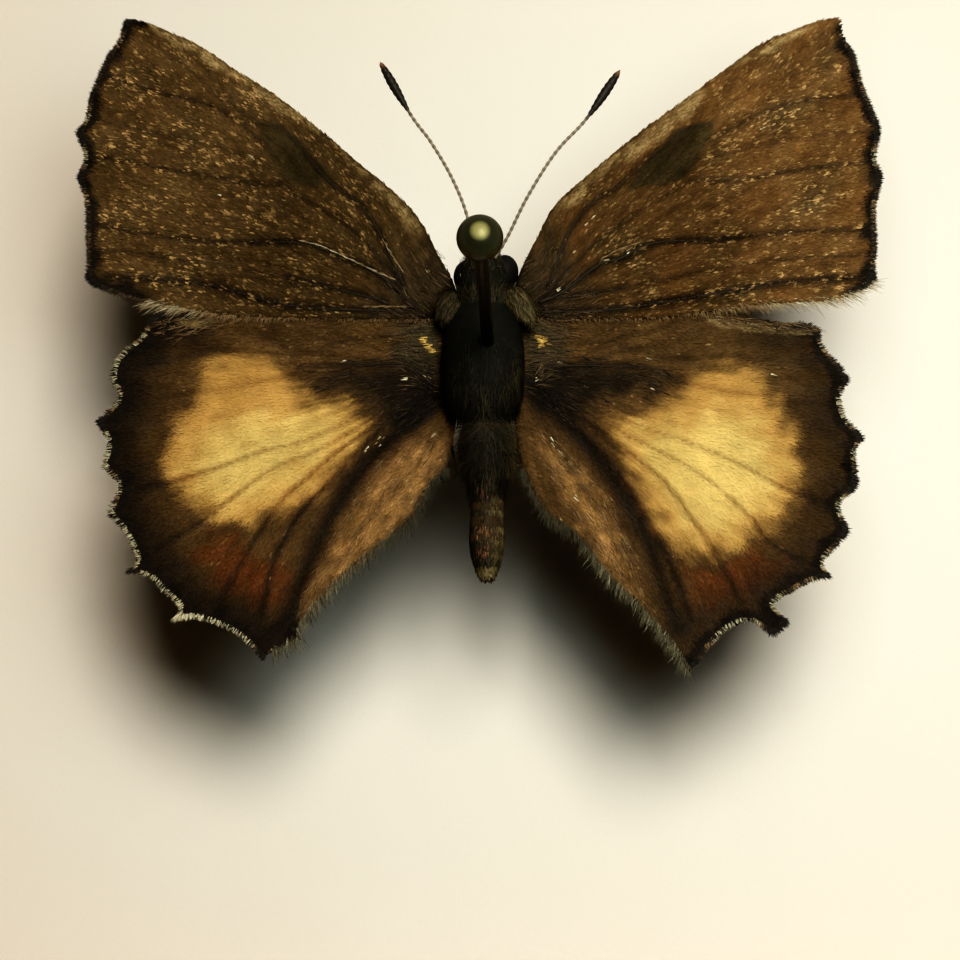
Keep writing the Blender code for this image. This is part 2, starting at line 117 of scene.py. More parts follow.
RIGHT_FOREWING = dict(
    node="forewing_right",
    outline=[
        (1.1, 2.3), (1.6, 3.6), (2.1, 4.6), (2.6, 5.6), (3.3, 6.4), (4.7, 7.7), (6.4, 9.1), (8.1, 10.4),
        (9.8, 11.7), (11.4, 12.9), (13.1, 13.6), (14.1, 13.95), (14.8, 13.9), (14.9, 13.2), (15.3, 12.2),
        (15.6, 10.9), (16, 9.7), (16.2, 8.8), (16, 7.7), (16.2, 6.8), (15.9, 5.4), (15.9, 4), (15.8, 3.1),
        (15.7, 2.3), (14.9, 1.7), (13.6, 1.4), (11.1, 1.3), (8.7, 1), (6.3, 0.8), (1.2, 1),
    ],
    margin=(13, 24),
    inner=(23, 29),
    veins=dict(
        radius=[
            (2.6, 2.3), (3.3, 4.3), (3.9, 5.3), (4.7, 6.1), (5.5, 6.6), (7.5, 8.5), (8.2, 9), (9.2, 9.3),
        ],
        radius_tip=[(9.2, 9.3), (10.6, 10.5), (14, 13.2)],
        median_1=[(9, 8.5), (12.6, 10.1), (15.8, 10.5)],
        median_2=[(8.6, 7.7), (13, 8.6), (16.1, 8.9)],
        median_3=[(8.2, 6.8), (10.5, 6.8), (12.9, 7.2), (16, 7.5)],
        cell=[(2.4, 1.9), (3.7, 3.3), (5.1, 4.6), (8.2, 6.7)],
        cubitus=[(2.2, 1.6), (3.1, 2), (4.7, 3.2), (5.5, 3.4), (6.9, 4.1), (9.7, 4.2)],
        cubitus_1=[(9.7, 4.2), (12.8, 4.5), (15.6, 4.6)],
        cubitus_2=[(3.1, 1.8), (4.2, 1.95), (5.6, 2.2)],
        cubitus_tip=[(5.6, 2.2), (11.2, 3.2), (15.6, 3.5)],
        anal_vein=[(2.2, 1.2), (5.5, 1.3), (12, 2.3), (15.6, 2.5)],
    ),
    patches=dict(
        costa_tip=[(8.9, 11.3), (11, 12.4), (13.5, 13.7), (13.2, 13.1), (11, 12), (9.5, 11.4)],
        costa_middle=[(8.9, 11.2), (5.8, 8.4), (5.2, 7.5), (5.8, 7.4), (8.5, 9.7), (9.1, 10.4)],
        costa_base=[(2.6, 5.5), (4.7, 7.7), (6.4, 9), (6.6, 8.5), (4.7, 6.9), (3.5, 5.5), (2.9, 5.2)],
        brand=[(9.2, 9.4), (9.4, 9.1), (8.1, 6.8), (6.6, 6.5), (5.6, 6.3), (6.7, 7.8), (8.1, 9.1)],
    ),
    vein_highlights=[([(4.7, 3.4), (5.7, 3.9), (6.3, 4.1)], 0.6)],
    glints=[(5.8, 3.7), (4.9, 3.3), (3.6, 3.7), (4.4, 5.2), (4.1, 4.9), (12.4, 4.5), (2.9, 2.1), (11.4, 9)],
)
LEFT_HINDWING = dict(
    node="hindwing_left",
    outline=[
        (-1.1, 1.2), (-6, 1.9), (-10, 1.8), (-12.4, 1.25), (-13.4, 0.9), (-13.8, 0.2), (-14.4, -0.3),
        (-14.9, -0.9), (-15, -1.7), (-14.7, -2.4), (-15.2, -3.1), (-15.5, -3.5), (-15.1, -4.3),
        (-15.2, -5.3), (-14.6, -6.1), (-14.9, -7.2), (-14.3, -8), (-13.8, -9.1), (-14.1, -9.6),
        (-13.3, -9.8), (-12.8, -10.3), (-12.1, -11), (-12.2, -11.5), (-11.4, -11.5), (-10.6, -11.7),
        (-9.8, -12.1), (-9.2, -12.6), (-8.7, -13.1), (-8.3, -12.8), (-7.4, -12.3), (-7.2, -11.6),
        (-5.8, -10), (-4.2, -8.5), (-2.8, -7.3), (-2.1, -5.9), (-1.4, -5.1), (-1, -2.6), (-1, -0.5),
    ],
    margin=(3, 28),
    inner=(28, 35),
    veins=dict(
        radius=[
            (-2.1, -1.8), (-3, -1), (-3.8, -0.9), (-7.1, -1), (-7.6, -1.3), (-8.7, -1.6), (-13.5, -2.6),
        ],
        subcosta=[(-3.5, 0.1), (-5.1, 0.2), (-7.5, -0.5), (-9.5, -0.4), (-11.3, -0.5), (-13.5, -1)],
        median_1=[(-3.6, -2.4), (-7.4, -4.2), (-8.9, -4.6), (-11.2, -5.5), (-14.2, -6.4)],
        median_3=[
            (-3.8, -2.7), (-5.4, -3.8), (-7, -4.7), (-8.4, -5.3), (-9.8, -6.3), (-11.2, -7.5),
            (-12.9, -8.6),
        ],
        cubitus_1=[(-3.8, -2.9), (-6.8, -5.4), (-8.5, -7.2), (-10.4, -10.6)],
        cubitus_2=[(-3.6, -3.1), (-5, -4.5), (-7.3, -7.1), (-8, -8.3), (-8.5, -9.5), (-8.8, -11.2)],
        fold=[(-1.8, -2.3), (-4.4, -4.6), (-5.6, -6.3), (-6.9, -8.9), (-8, -12.4)],
        anal_vein=[(-1.6, -3.5), (-2.4, -4.7), (-4.3, -7.1), (-7.1, -11.1)],
    ),
    patches=dict(
        disc=[
            (-12.9, -5.5), (-13.1, -4.7), (-11.9, -2.2), (-11.8, -1.4), (-11.3, -0.7), (-10.3, -0.3),
            (-7.9, -0.6), (-7, -2), (-5.2, -2.3), (-4.6, -2.9), (-4.4, -3.6), (-6, -6.1), (-7.7, -7.2),
            (-9.4, -7.9), (-11.1, -7.5), (-12.5, -6.3),
        ],
        disc_core=[
            (-12.2, -5.5), (-12, -4.2), (-10.9, -3.2), (-9.1, -2.5), (-6.7, -2.5), (-5, -2.9), (-5, -3.7),
            (-6, -5.2), (-8, -6.7), (-9.2, -7.3), (-10.4, -7.3), (-11.6, -6.7),
        ],
        rust=[
            (-11.7, -8.3), (-10.9, -7.6), (-10.1, -7.8), (-9.3, -8.2), (-7.9, -8.7), (-7.5, -10),
            (-7.9, -11), (-8.5, -11.6), (-10.8, -10.6), (-11.4, -10), (-11.7, -9.2),
        ],
        anal=[
            (-1.8, -3.7), (-1.4, -4.7), (-1.8, -5.6), (-3.9, -8.3), (-5.8, -10), (-7.1, -11.8),
            (-7.4, -11.1), (-7.1, -10.1), (-4.9, -6), (-4.2, -5), (-3.4, -4.3), (-2.6, -3.8),
        ],
        base_dark=[
            (-1.6, -0.4), (-6.5, -1.1), (-7, -1.5), (-6.6, -2), (-5.5, -2.1), (-4.6, -2.6), (-4.1, -3.4),
            (-3.4, -3.8), (-1.6, -2.8),
        ],
        root_olive=[
            (-3.5, 0.9), (-1.8, 1.1), (-1.4, -0.1), (-1.5, -1.6), (-2.2, -2.1), (-3.2, -1.5), (-3.7, -0.3),
        ],
        costa_tip=[(-12.4, 0.8), (-10.7, 0.9), (-11, 0.6), (-12, 0.5)],
    ),
    pale_fringe=[
        [(-14.4, -0.3), (-14.9, -0.9), (-15, -1.7)], [(-15.1, -4.3), (-15.2, -5.3)],
        [(-14.9, -7.2), (-14.3, -8), (-13.9, -8.8)], [(-13.3, -9.6), (-12.6, -10.2), (-11.9, -10.9)],
        [(-11.1, -11.4), (-10.1, -11.6), (-9, -12.3)],
    ],
    rusty_fringe=[(-12.2, -11.2), (-11.4, -11.4)],
    glints=[
        (-4.1, -3.9), (-4.3, -4.2), (-4.7, -4.4), (-4.8, -4.6), (-2.3, -1.5), (-3.1, -1.5), (-2, -3.9),
        (-5.7, -0.8),
    ],
    golden=[(-2.4, 0.05), (-2.2, -0.15), (-2.1, -0.35)],
    tuft=[(-13, 0.85), (-10.4, 0.95), (-10.3, 0.5), (-12.8, 0)],
)
RIGHT_HINDWING = dict(
    node="hindwing_right",
    outline=[
        (1.1, 1.2), (6, 1.9), (9, 1.5), (10.4, 1.1), (12, 0.8), (13.3, 0.5), (13.7, -0.3), (14.4, -1.2),
        (14.6, -1.7), (14.3, -2.4), (14.5, -3.3), (15.1, -4.1), (14.8, -4.7), (14.8, -6.1), (14.1, -6.9),
        (14.4, -7.9), (14, -8.5), (13.4, -9.2), (13.6, -9.8), (12.9, -10), (12.1, -10.4), (11.4, -10.9),
        (11.9, -11.6), (11.3, -12.1), (10.5, -11.6), (9.7, -11.8), (8.9, -12.5), (8.3, -13.3), (7.9, -13.5),
        (7.3, -12.6), (6.1, -11), (4.8, -9.7), (3.6, -8.1), (2.5, -7.3), (1.8, -6.2), (1.4, -5.1),
        (1, -2.6), (1, -0.5),
    ],
    margin=(4, 28),
    inner=(28, 35),
    veins=dict(
        radius=[(2.2, -1.5), (2.7, -1), (6.5, -1.1), (7.7, -1.6), (9.7, -2.1), (13.9, -2.8)],
        subcosta=[(3.1, 0.1), (5.5, -0.1), (7.9, -0.7), (10.3, -0.7), (12.7, -1)],
        median_1=[(3, -2.2), (9.2, -4.7), (12.2, -6.3), (13.9, -6.9)],
        median_3=[(3, -2.3), (8.2, -5.3), (9.5, -6.3), (10.6, -7.4), (11.2, -8.3), (12.5, -9.2)],
        cubitus_1=[(2.9, -2.4), (6.6, -5.3), (7.8, -6.7), (9.2, -8.9), (10.1, -10.8)],
        cubitus_2=[(2.7, -2.5), (4.8, -4.8), (5.8, -6.2), (7.3, -9.1), (8.1, -11.4)],
        fold=[(1.7, -1.9), (3.3, -3.4), (4.5, -4.8), (5.9, -7), (6.6, -8.6), (7.5, -11.6)],
        anal_vein=[(1.8, -2.4), (2.4, -3.5), (5.1, -7.7), (6.6, -10.5)],
    ),
    patches=dict(
        disc=[
            (4.6, -3), (7.1, -2.3), (8.3, -1), (9.2, -0.8), (10.2, -0.9), (11.1, -1.4), (12.3, -3.2),
            (12.6, -4.2), (12.7, -6.5), (11.2, -8.1), (9.2, -9.1), (7, -8.5), (5.5, -5.8), (4.7, -3.8),
        ],
        disc_core=[
            (5.4, -3.2), (7.1, -3), (8.7, -2.4), (10.3, -2.5), (11.5, -3.6), (12.1, -5.1), (12.2, -6.3),
            (11.3, -7.3), (10.1, -8.1), (9, -8.5), (7.6, -8.2), (5.5, -4.4),
        ],
        rust=[
            (7.1, -8.8), (9.2, -9), (10.5, -8.2), (12.2, -9), (11.6, -10), (9.5, -11.2), (8.7, -11.4),
            (8.2, -11.1), (7.7, -10.3),
        ],
        anal=[
            (2.2, -3.6), (4.4, -5.7), (5.4, -7.5), (6.5, -10.7), (6.1, -10.7), (5.4, -10.1), (4.1, -8.5),
            (2.5, -5.4), (2.2, -4.5),
        ],
        base_dark=[
            (1.4, -0.4), (6.7, -1), (7.4, -1.5), (7.1, -2.1), (6.1, -2.3), (4.9, -2.5), (3.6, -3.3),
            (2.9, -3.2), (1.4, -2.2),
        ],
        root_olive=[(1.4, 1.1), (3.1, 0.9), (3.4, -0.1), (2.9, -1.2), (2.1, -1.8), (1.4, -1.1)],
        costa_tip=[(8.7, 1.1), (10.8, 0.6), (13.3, 0.4), (12.6, 0.2), (9.7, 0.5), (8.9, 0.8)],
    ),
    pale_fringe=[[(8.5, -12.3), (9.4, -11.7), (10.1, -11.3), (10.7, -11.2)]],
    glints=[
        (6.5, -0.7), (6.7, -2), (3, -0.9), (2, -1.6), (3.6, -6.4), (2.6, -4), (2.7, -4.3), (11.5, -1.5),
    ],
    golden=[(2.2, 0), (2.1, 0.2), (2.3, 0.1)],
    tuft=[(9.2, 1), (12.9, 0.6), (13.1, 0.3), (9.4, 0.75)],
)
WINGS = {
    "left_forewing": LEFT_FOREWING,
    "right_forewing": RIGHT_FOREWING,
    "left_hindwing": LEFT_HINDWING,
    "right_hindwing": RIGHT_HINDWING,
}

# Veins: (tube's radius at the root, or 0 for no tube; height of the ridge they raise in the
# wing; how dark their line is at the root and at the margin; the line's width), millimetres.
# The dark line is partly the veins' own dark scales and partly painted shade beside the raised
# ridges and in the fold's crease.
VEIN_LOOKS = {
    "radius": (0.055, 0.05, 1.0, 0.25, 0.12),
    "radius_tip": (0.0, 0.02, 0.35, 0.3, 0.09),
    "subcosta": (0.0, 0.03, 0.5, 0.25, 0.10),
    "median_1": (0.0, 0.02, 0.6, 0.8, 0.10),
    "median_2": (0.0, 0.015, 0.3, 0.5, 0.09),
    "median_3": (0.0, 0.02, 0.6, 0.8, 0.10),
    "cell": (0.03, 0.03, 0.8, 0.3, 0.11),
    "cubitus": (0.065, 0.07, 1.0, 0.9, 0.18),
    "cubitus_1": (0.0, 0.02, 0.8, 0.7, 0.13),
    "cubitus_2": (0.05, 0.04, 1.0, 0.8, 0.17),
    "cubitus_tip": (0.0, 0.02, 0.5, 0.6, 0.10),
    "anal_vein": (0.05, 0.05, 1.0, 0.85, 0.2),
    "fold": (0.0, -0.16, 1.0, 0.7, 0.26),
}

# Body pieces, lofted along the body: the front end, how deep the section is against its width,
# how far the hind end droops, and (distance from the front, radius).
BODY = {
    "head": {
        "front": (-0.05, 3.5, 27.25), "depth": 0.95, "droop": 0.0,
        "profile": [
            (0.0, 0.4), (0.15, 0.75), (0.5, 1.0), (0.9, 1.08), (1.4, 1.08), (1.8, 0.95), (2.0, 0.5),
        ],
    },
    "thorax": {
        "front": (-0.08, 1.95, 27.2), "depth": 0.9, "droop": 0.0,
        "profile": [
            (0.0, 0.6), (0.3, 1.05), (0.9, 1.35), (1.9, 1.62), (3.2, 1.68), (4.3, 1.58),
            (5.0, 1.25), (5.4, 0.6),
        ],
    },
    "abdomen": {
        "front": (0.08, -3.05, 26.95), "depth": 1.1, "droop": math.radians(5.0),
        "profile": [
            (0.0, 0.5), (0.4, 0.95), (1.1, 1.05), (2.2, 0.88), (3.2, 0.68), (4.2, 0.68),
            (5.1, 0.72), (5.8, 0.62), (6.3, 0.45), (6.65, 0.27), (6.78, 0.1),
        ],
    },
}
SEGMENTS = [0.5, 1.2, 1.95, 2.75, 3.6, 4.2, 4.85, 5.4, 5.9, 6.4]  # abdomen ring edges
EYES = [((-0.78, 2.68, 27.1), (0.5, 0.66, 0.72)), ((0.82, 2.9, 27.1), (0.55, 0.7, 0.72))]
TEGULAE = {  # shoulder pads: middle, half sizes, turn about Z
    "left": ((-1.45, 1.25, 27.75), (0.5, 0.7, 0.35), math.radians(-12)),
    "right": ((1.45, 1.3, 27.75), (0.48, 0.85, 0.35), math.radians(30)),
}

ANTENNAE = {
    "left": [
        (-0.4, 3.1, 28.05), (-0.72, 4.66, 28.9), (-1.33, 6.14, 29.3), (-2.18, 7.57, 29.6),
        (-2.99, 8.66, 29.8), (-4.25, 10.88, 30.0),
    ],
    "right": [
        (0.4, 3.15, 28.05), (0.93, 3.92, 28.6), (1.73, 5.37, 29.3), (2.85, 7.02, 29.9),
        (4.1, 8.36, 30.2), (5.45, 10.36, 30.4),
    ],
}
LEGS = {  # right-hand ones, from the middle of the thorax
    "fore": [(0.45, 0.9, -1.25), (1.0, 1.6, -2.0), (0.8, 2.7, -2.5), (0.6, 3.3, -2.0)],
    "mid": [(0.75, -0.3, -1.35), (1.6, 0.1, -2.2), (1.25, -0.7, -3.2), (1.1, -1.3, -3.7)],
    "hind": [(0.9, -1.5, -1.25), (1.7, -2.3, -2.1), (1.35, -3.8, -3.0), (1.15, -4.7, -3.5)],
}
THORAX_MIDDLE = (0.0, 0.0, 27.2)
PALP = [(0.25, 3.5, 26.75), (0.3, 4.0, 26.82), (0.29, 4.4, 27.0), (0.28, 4.62, 27.17)]

PIN_ENTRY = (0.12, -0.6, 28.3)
PIN_LEAN_BACK = math.radians(7.0)
PIN_LEAN_LEFT = math.radians(2.0)
PIN_RADIUS = 0.25
PIN_ABOVE = 9.4  # from the entry up to the middle of the head
PIN_BELOW = 24.0  # from the entry down to the point
PIN_POINT = 1.6  # length of the sharpened tip
PIN_HEAD_RADIUS = 0.87

KNOB_PROFILE = [  # (radius, distance out from the front wall)
    (0.0, 7.0), (1.2, 6.9), (2.4, 6.4), (3.2, 5.4), (3.4, 4.5), (3.1, 3.6), (2.2, 2.8),
    (1.5, 2.1), (1.4, 1.5), (1.9, 1.0), (2.6, 0.8), (2.6, 0.3), (2.3, 0.0), (1.3, -0.4),
    (1.2, -2.8),
]

TOE = 0.2  # how far the picture presses its dark values down


def shade(*display):
    """The linear colour that the picture shows as these values (0 to 255) in full light."""
    linear = [((v / 255 + 0.055) / 1.055) ** 2.4 if v > 10 else v / 3294.6 for v in display]
    parts = [v / (1 + TOE) for v in linear]
    return [(part + math.sqrt(part * (part + 4 * TOE))) / 2 for part in parts]


# --- Settings ---
def number_setting(name, description, value, **kind):
    """A number that a user may change."""
    return bpy.props.FloatProperty(name=name, description=description, default=value, **kind)


def size_setting(name, description, millimetres):
    """A length that a user may change."""
    return number_setting(name, description, millimetres * MM, unit="LENGTH", precision=6)


def linear_setting(name, description, *colour):
    """A linear colour that a user may change."""
    return bpy.props.FloatVectorProperty(
        name=name, description=description, default=colour, subtype="COLOR", size=3, min=0, max=1
    )


def colour_setting(name, description, *display):
    """A colour that a user may change, as the picture shows it in full light."""
    return linear_setting(name, description, *shade(*display))


class DrawerSettings(bpy.types.PropertyGroup):
    """Finish of the drawer."""
    rounding: size_setting("Rounding", "Radius worn onto the wooden edges", 0.28)
    ring_width: size_setting("Ring width", "Distance between growth rings", 1.3)
    wood_light: colour_setting("Light wood", "Early wood of the walls", 196, 150, 96)
    wood_dark: colour_setting("Dark wood", "Late wood and pores of the walls", 120, 78, 42)
    ply_light: colour_setting("Light ply", "Pale veneer of the board", 214, 180, 128)
    ply_dark: colour_setting("Dark ply", "Grain of the board's veneers", 164, 122, 76)
    paper: linear_setting("Lining", "Cream paper under the specimen", 0.86, 0.805, 0.71)
    paper_stain: linear_setting("Lining stain", "Faint ageing of the paper", 0.81, 0.745, 0.60)
    foam: linear_setting("Foam", "Pinning foam", 0.78, 0.76, 0.69)
    brass: linear_setting("Brass", "Body of the knob", 0.78, 0.56, 0.22)
    tarnish: linear_setting("Tarnish", "Dull brass in the knob's hollows", 0.30, 0.19, 0.07)


class WingSettings(bpy.types.PropertyGroup):
    """Scales and colours of the wings."""
    thickness: size_setting("Membrane", "Thickness of the wing membrane", 0.05)
    mesh_size: size_setting("Mesh size", "Distance between points of a membrane", 0.16)
    scale_length: size_setting("Scale length", "Length of a wing scale", 0.21)
    scale_width: size_setting("Scale width", "Width of a wing scale", 0.074)
    scale_spacing: size_setting("Scale spacing", "Least distance between scale roots", 0.048)
    # The right forewing's ground is lighter than the left's: painted light and shade on one wing colour.
    left_forewing: colour_setting("Left forewing", "Its ground", 78, 53, 24)
    right_forewing: colour_setting("Right forewing", "Its ground", 104, 66, 29)
    forewing_2: colour_setting("Forewing, second", "Its darker patches", 60, 42, 19)
    hindwing: colour_setting("Hindwing", "Ground of the hindwings", 82, 55, 25)
    hindwing_2: colour_setting("Hindwing, second", "Its darker patches", 50, 31, 13)
    disc: colour_setting("Patch edge", "Outer part of the golden patch", 184, 134, 62)
    core: colour_setting("Patch middle", "Brightest part of the golden patch", 216, 181, 97)
    rust: colour_setting("Rust", "Red-brown spots near the tail", 80, 36, 11)
    brand: colour_setting("Brand", "Scent patch of the forewings", 54, 40, 18)
    margin: colour_setting("Margin", "Black edge and wing bases", 16, 11, 7)
    anal: colour_setting("Inner edge", "Tan fold beside the body", 150, 104, 52)
    olive: colour_setting("Wing root", "Olive hairs at the roots", 62, 56, 36)
    pale: colour_setting("Costal streak", "Pale streak along the costa", 184, 152, 96)
    # Golden scales that stand for the sparkle of lit scales: painted glints.
    fleck: colour_setting("Painted glint", "Golden scales painted as sparkle", 178, 136, 78)
    underside: colour_setting("Underside", "Slate underside of the wings", 30, 36, 36)


class CoatSettings(bpy.types.PropertyGroup):
    """Hairs, fringes and body colours."""
    fringe_dark: colour_setting("Dark fringe", "Black margin tufts", 20, 15, 9)
    fringe_middle: colour_setting("Brown hair", "Hairs on the wing folds", 122, 90, 52)
    fringe_pale: colour_setting("Pale fringe", "Cream tufts of the margins", 196, 186, 148)
    edge_olive: colour_setting("Olive hair", "Inner edge of the hindwings", 66, 58, 36)
    # Colour of the painted golden glints by the body.
    gold: colour_setting("Gold scale", "Painted golden glints by the body", 222, 178, 84)
    rusty: colour_setting("Rusty tuft", "Reddish hairs at the tail stub", 98, 58, 34)
    fur_dark: colour_setting("Dark fur", "Fur of the body", 18, 15, 9)
    fur_middle: colour_setting("Olive fur", "Hairs of the shoulders", 104, 86, 48)
    fur_pale: colour_setting("Pale fur", "Ochre scales of the abdomen", 186, 152, 98)
    skin: colour_setting("Skin", "Body under the fur", 14, 13, 8)
    tail_skin: colour_setting("Tail skin", "Ochre end of the abdomen", 50, 34, 16)
    eye: colour_setting("Eye", "Compound eyes", 14, 12, 10)
    leg: colour_setting("Leg", "Legs, palps and antennae", 70, 54, 34)
    club_tip: colour_setting("Club tip", "Tip of the antennal club", 120, 72, 38)
    ring: colour_setting("Antenna ring", "Pale rings of the antennae", 170, 150, 120)
    pin_head: colour_setting("Pin head", "Olive plastic of the pin's head", 22, 22, 10)
    # The pin crown is a painted highlight: a pale top on the head where the light reflects.
    pin_crown: colour_setting("Pin crown", "Painted highlight on top of the pin's head", 128, 118, 62)
    pin_steel: linear_setting("Pin steel", "Dark steel of the pin", 0.11, 0.11, 0.10)


class StageSettings(bpy.types.PropertyGroup):
    """Floor, lights and camera."""
    floor: linear_setting("Floor", "Pale studio floor", 0.74, 0.72, 0.67)
    key_colour: linear_setting("Key colour", "Warm light of the sun", 1.0, 0.93, 0.84)
    lamp_colour: linear_setting("Lamp colour", "Cool light of the side lamp", 0.80, 0.92, 0.94)
    room_low: linear_setting("Room wall", "Dim room near the floor's edge", 0.50, 0.465, 0.39)
    room_high: linear_setting("Room ceiling", "Dark room overhead", 0.006, 0.009, 0.008)
    key_strength: number_setting("Key", "Sun strength", 2.13)
    side_power: number_setting(
        "Side lamp", "Power of the lamp on the right", 0.192, unit="POWER"
    )
    softness: number_setting(
        "Softness", "Width of the key light", math.radians(22.4), subtype="ANGLE"
    )
    toe: number_setting("Toe", "How far the picture's dark values are pressed down", TOE)
    lens: number_setting("Lens", "Focal length in millimetres", 103.1)


# --- Curves and patches, with numpy ---
def smooth(knots, steps, closed=False):
    """Points of a smooth curve through the knots, with so many steps between two knots."""
    knots = np.asarray(knots, float)
    if closed:
        ends = np.concatenate((knots[-1:], knots, knots[:2]))
    else:
        ends = np.concatenate(([2 * knots[0] - knots[1]], knots, [2 * knots[-1] - knots[-2]]))
    path = []
    for span in range(len(ends) - 3):
        a, b, c, d = ends[span:span + 4]
        for t in np.arange(steps) / steps:
            path.append(
                0.5 * (2 * b + (c - a) * t + (2 * a - 5 * b + 4 * c - d) * t ** 2
                       + (3 * b - a - 3 * c + d) * t ** 3)
            )
    path.append(path[0] if closed else knots[-1])
    return np.array(path)


def lengths_along(path):
    """Distance from a path's start to each of its points."""
    return np.concatenate(([0.0], np.cumsum(np.linalg.norm(np.diff(path, axis=0), axis=1))))


def evenly(path, step):
    """The same path with its points about one step apart."""
    along = lengths_along(path)
    places = np.linspace(0, along[-1], max(2, round(along[-1] / step) + 1))
    return np.column_stack([np.interp(places, along, part) for part in path.T])


def unit(vectors):
    """Vectors with length 1."""
    return vectors / np.maximum(np.linalg.norm(vectors, axis=-1, keepdims=True), 1e-12)


def fade(low, high, value):
    """0 at low, 1 at high, and a smooth ramp between them."""
    share = np.clip((value - low) / (high - low), 0, 1)
    return share * share * (3 - 2 * share)


def bell(distance, width):
    """1 at no distance, and soon nothing beyond the width."""
    return np.exp(-(distance / width) ** 2)


def ripple(points, size, seed):
    """A value that wanders smoothly between about -1 and 1, in bumps of the given size."""
    draw = np.random.default_rng(seed)
    total = 0.0
    for _ in range(6):
        angle, phase, lag = draw.uniform(0, TURN, 3)
        pitch = size * draw.uniform(0.9, 2.2)
        along = points @ np.array((math.cos(angle), math.sin(angle)))
        across = points @ np.array((-math.sin(angle), math.cos(angle)))
        total = total + np.sin(
            TURN * along / pitch + phase + 1.5 * np.sin(TURN * across / (1.7 * pitch) + lag)
        )
    return total / 3


def nearest(points, path):
    """Distance of each point from a path, the path's share there, and its direction."""
    start, run = path[:-1], np.diff(path, axis=0)
    offset = points[:, None] - start
    share = np.clip((offset * run).sum(-1) / (run * run).sum(-1), 0, 1)
    gap = np.linalg.norm(offset - share[..., None] * run, axis=-1)
    best = gap.argmin(1)
    rows = np.arange(len(points))
    return gap[rows, best], (best + share[rows, best]) / len(run), unit(run)[best]


def inside(points, loop):
    """Whether each point lies inside a closed loop."""
    x, y = points[:, :1], points[:, 1:]
    (x1, y1), (x2, y2) = loop[:-1].T, loop[1:].T
    crossed = (y1 > y) != (y2 > y)
    at = x1 + (y - y1) * (x2 - x1) / np.where(y2 == y1, 1e-12, y2 - y1)
    return (crossed & (x < at)).sum(1) % 2 == 1


def patch(points, corners, blur, wander=0.2, seed=1):
    """1 inside a patch and 0 outside, over a blurred, wandering edge."""
    shift = np.column_stack((ripple(points, 1.1, seed), ripple(points, 1.1, seed + 50)))
    moved = points + wander * shift
    loop = smooth(corners, 4, closed=True)
    depth = nearest(moved, loop)[0] * np.where(inside(moved, loop), 1, -1)
    return fade(-0.14 * blur, 0.74 * blur, depth)


# --- Meshes and pieces ---
UP = (0, 0, 1)
BACK = (0, -1, 0)  # towards the tail


class Form:
    """Points, faces and point values of one piece, in millimetres."""

    def __init__(self):
        self.points, self.faces, self.values, self.count = [], [], {}, 0

    def add(self, points, faces, **values):
        """Add a body, with one value of each name for every point."""
        self.points.append(np.asarray(points, float))
        self.faces += [tuple(int(index) + self.count for index in face) for face in faces]
        for name, value in values.items():
            self.values.setdefault(name, []).append(np.asarray(value, float))
        self.count += len(points)

    def mesh(self, name):
        """The form as a mesh, in metres and in its place."""
        mesh = bpy.data.meshes.new(name)
        points = np.concatenate(self.points) * MM + np.array((0, CENTRE_Y, 0))
        mesh.from_pydata(points.tolist(), [], self.faces)
        for label, parts in self.values.items():
            value = np.concatenate(parts)
            width = 1 if value.ndim == 1 else value.shape[1]
            kind, field = {
                1: ("FLOAT", "value"), 3: ("FLOAT_VECTOR", "vector"), 4: ("FLOAT_COLOR", "color"),
            }[width]
            mesh.attributes.new(label, kind, "POINT").data.foreach_set(field, value.ravel())
        mesh.shade_smooth()
        return mesh


def show(name, mesh, material, slot, *replaced):
    """Show a mesh as a piece of the object."""
    obj = bpy.data.objects.new(name, mesh)
    bpy.context.scene.collection.objects.link(obj)
    if material:
        mesh.materials.clear()
        mesh.materials.append(material)
    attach(obj, "root")
    if replaced:
        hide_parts(*replaced)
    return obj


def loft(centres, widths, heights=None, sides=12, upright=UP):
    """Points, faces and values of a closed tube round a path."""
    centres = np.asarray(centres, float)
    heights = widths if heights is None else heights
    ahead = unit(np.gradient(centres, axis=0))
    across = unit(np.cross(ahead, upright))
    over = np.cross(across, ahead)
    angle = TURN * np.arange(sides) / sides
    rings = (
        centres[:, None]
        + (widths[:, None] * np.cos(angle))[..., None] * across[:, None]
        + (heights[:, None] * np.sin(angle))[..., None] * over[:, None]
    )
    points = np.concatenate((centres[:1], rings.reshape(-1, 3), centres[-1:]))
    last = len(points) - 1
    faces = []
    for j in range(sides):
        k = (j + 1) % sides
        faces.append((0, 1 + j, 1 + k))
        for i in range(len(centres) - 1):
            low, high = 1 + i * sides, 1 + (i + 1) * sides
            faces.append((low + j, high + j, high + k, low + k))
        faces.append((last, last - sides + k, last - sides + j))
    along = lengths_along(centres)
    values = {
        "along": np.concatenate((along[:1], np.repeat(along, sides), along[-1:])),
        "around": np.concatenate(([0.25], np.tile(angle / TURN, len(centres)), [0.25])),
    }
    return points, faces, values


def add_loft(form, *args, **options):
    """Add a tube to a form."""
    points, faces, values = loft(*args, **options)
    form.add(points, faces, **values)


def show_tube(name, material, slot, replaced, *args, **options):
    """Show a tube as a piece, in the place of a CAD node."""
    form = Form()
    add_loft(form, *args, **options)
    return show(name, form.mesh(name), material, slot, replaced)


def about_z(angle):
    """The matrix that turns rows of points about Z."""
    along, aside = math.cos(angle), math.sin(angle)
    return np.array(((along, aside, 0), (-aside, along, 0), (0, 0, 1)))


def ball(form, middle, radii, turn=0.0):
    """Add an ellipsoid to a form."""
    tilt = np.linspace(0, math.pi, 25)
    path = -np.cos(tilt)[:, None] * (0, 1, 0)
    swell = np.maximum(np.sin(tilt), 0.002)
    points, faces, values = loft(path, swell, sides=32)
    form.add(points * radii @ about_z(turn) + middle, faces, **values)


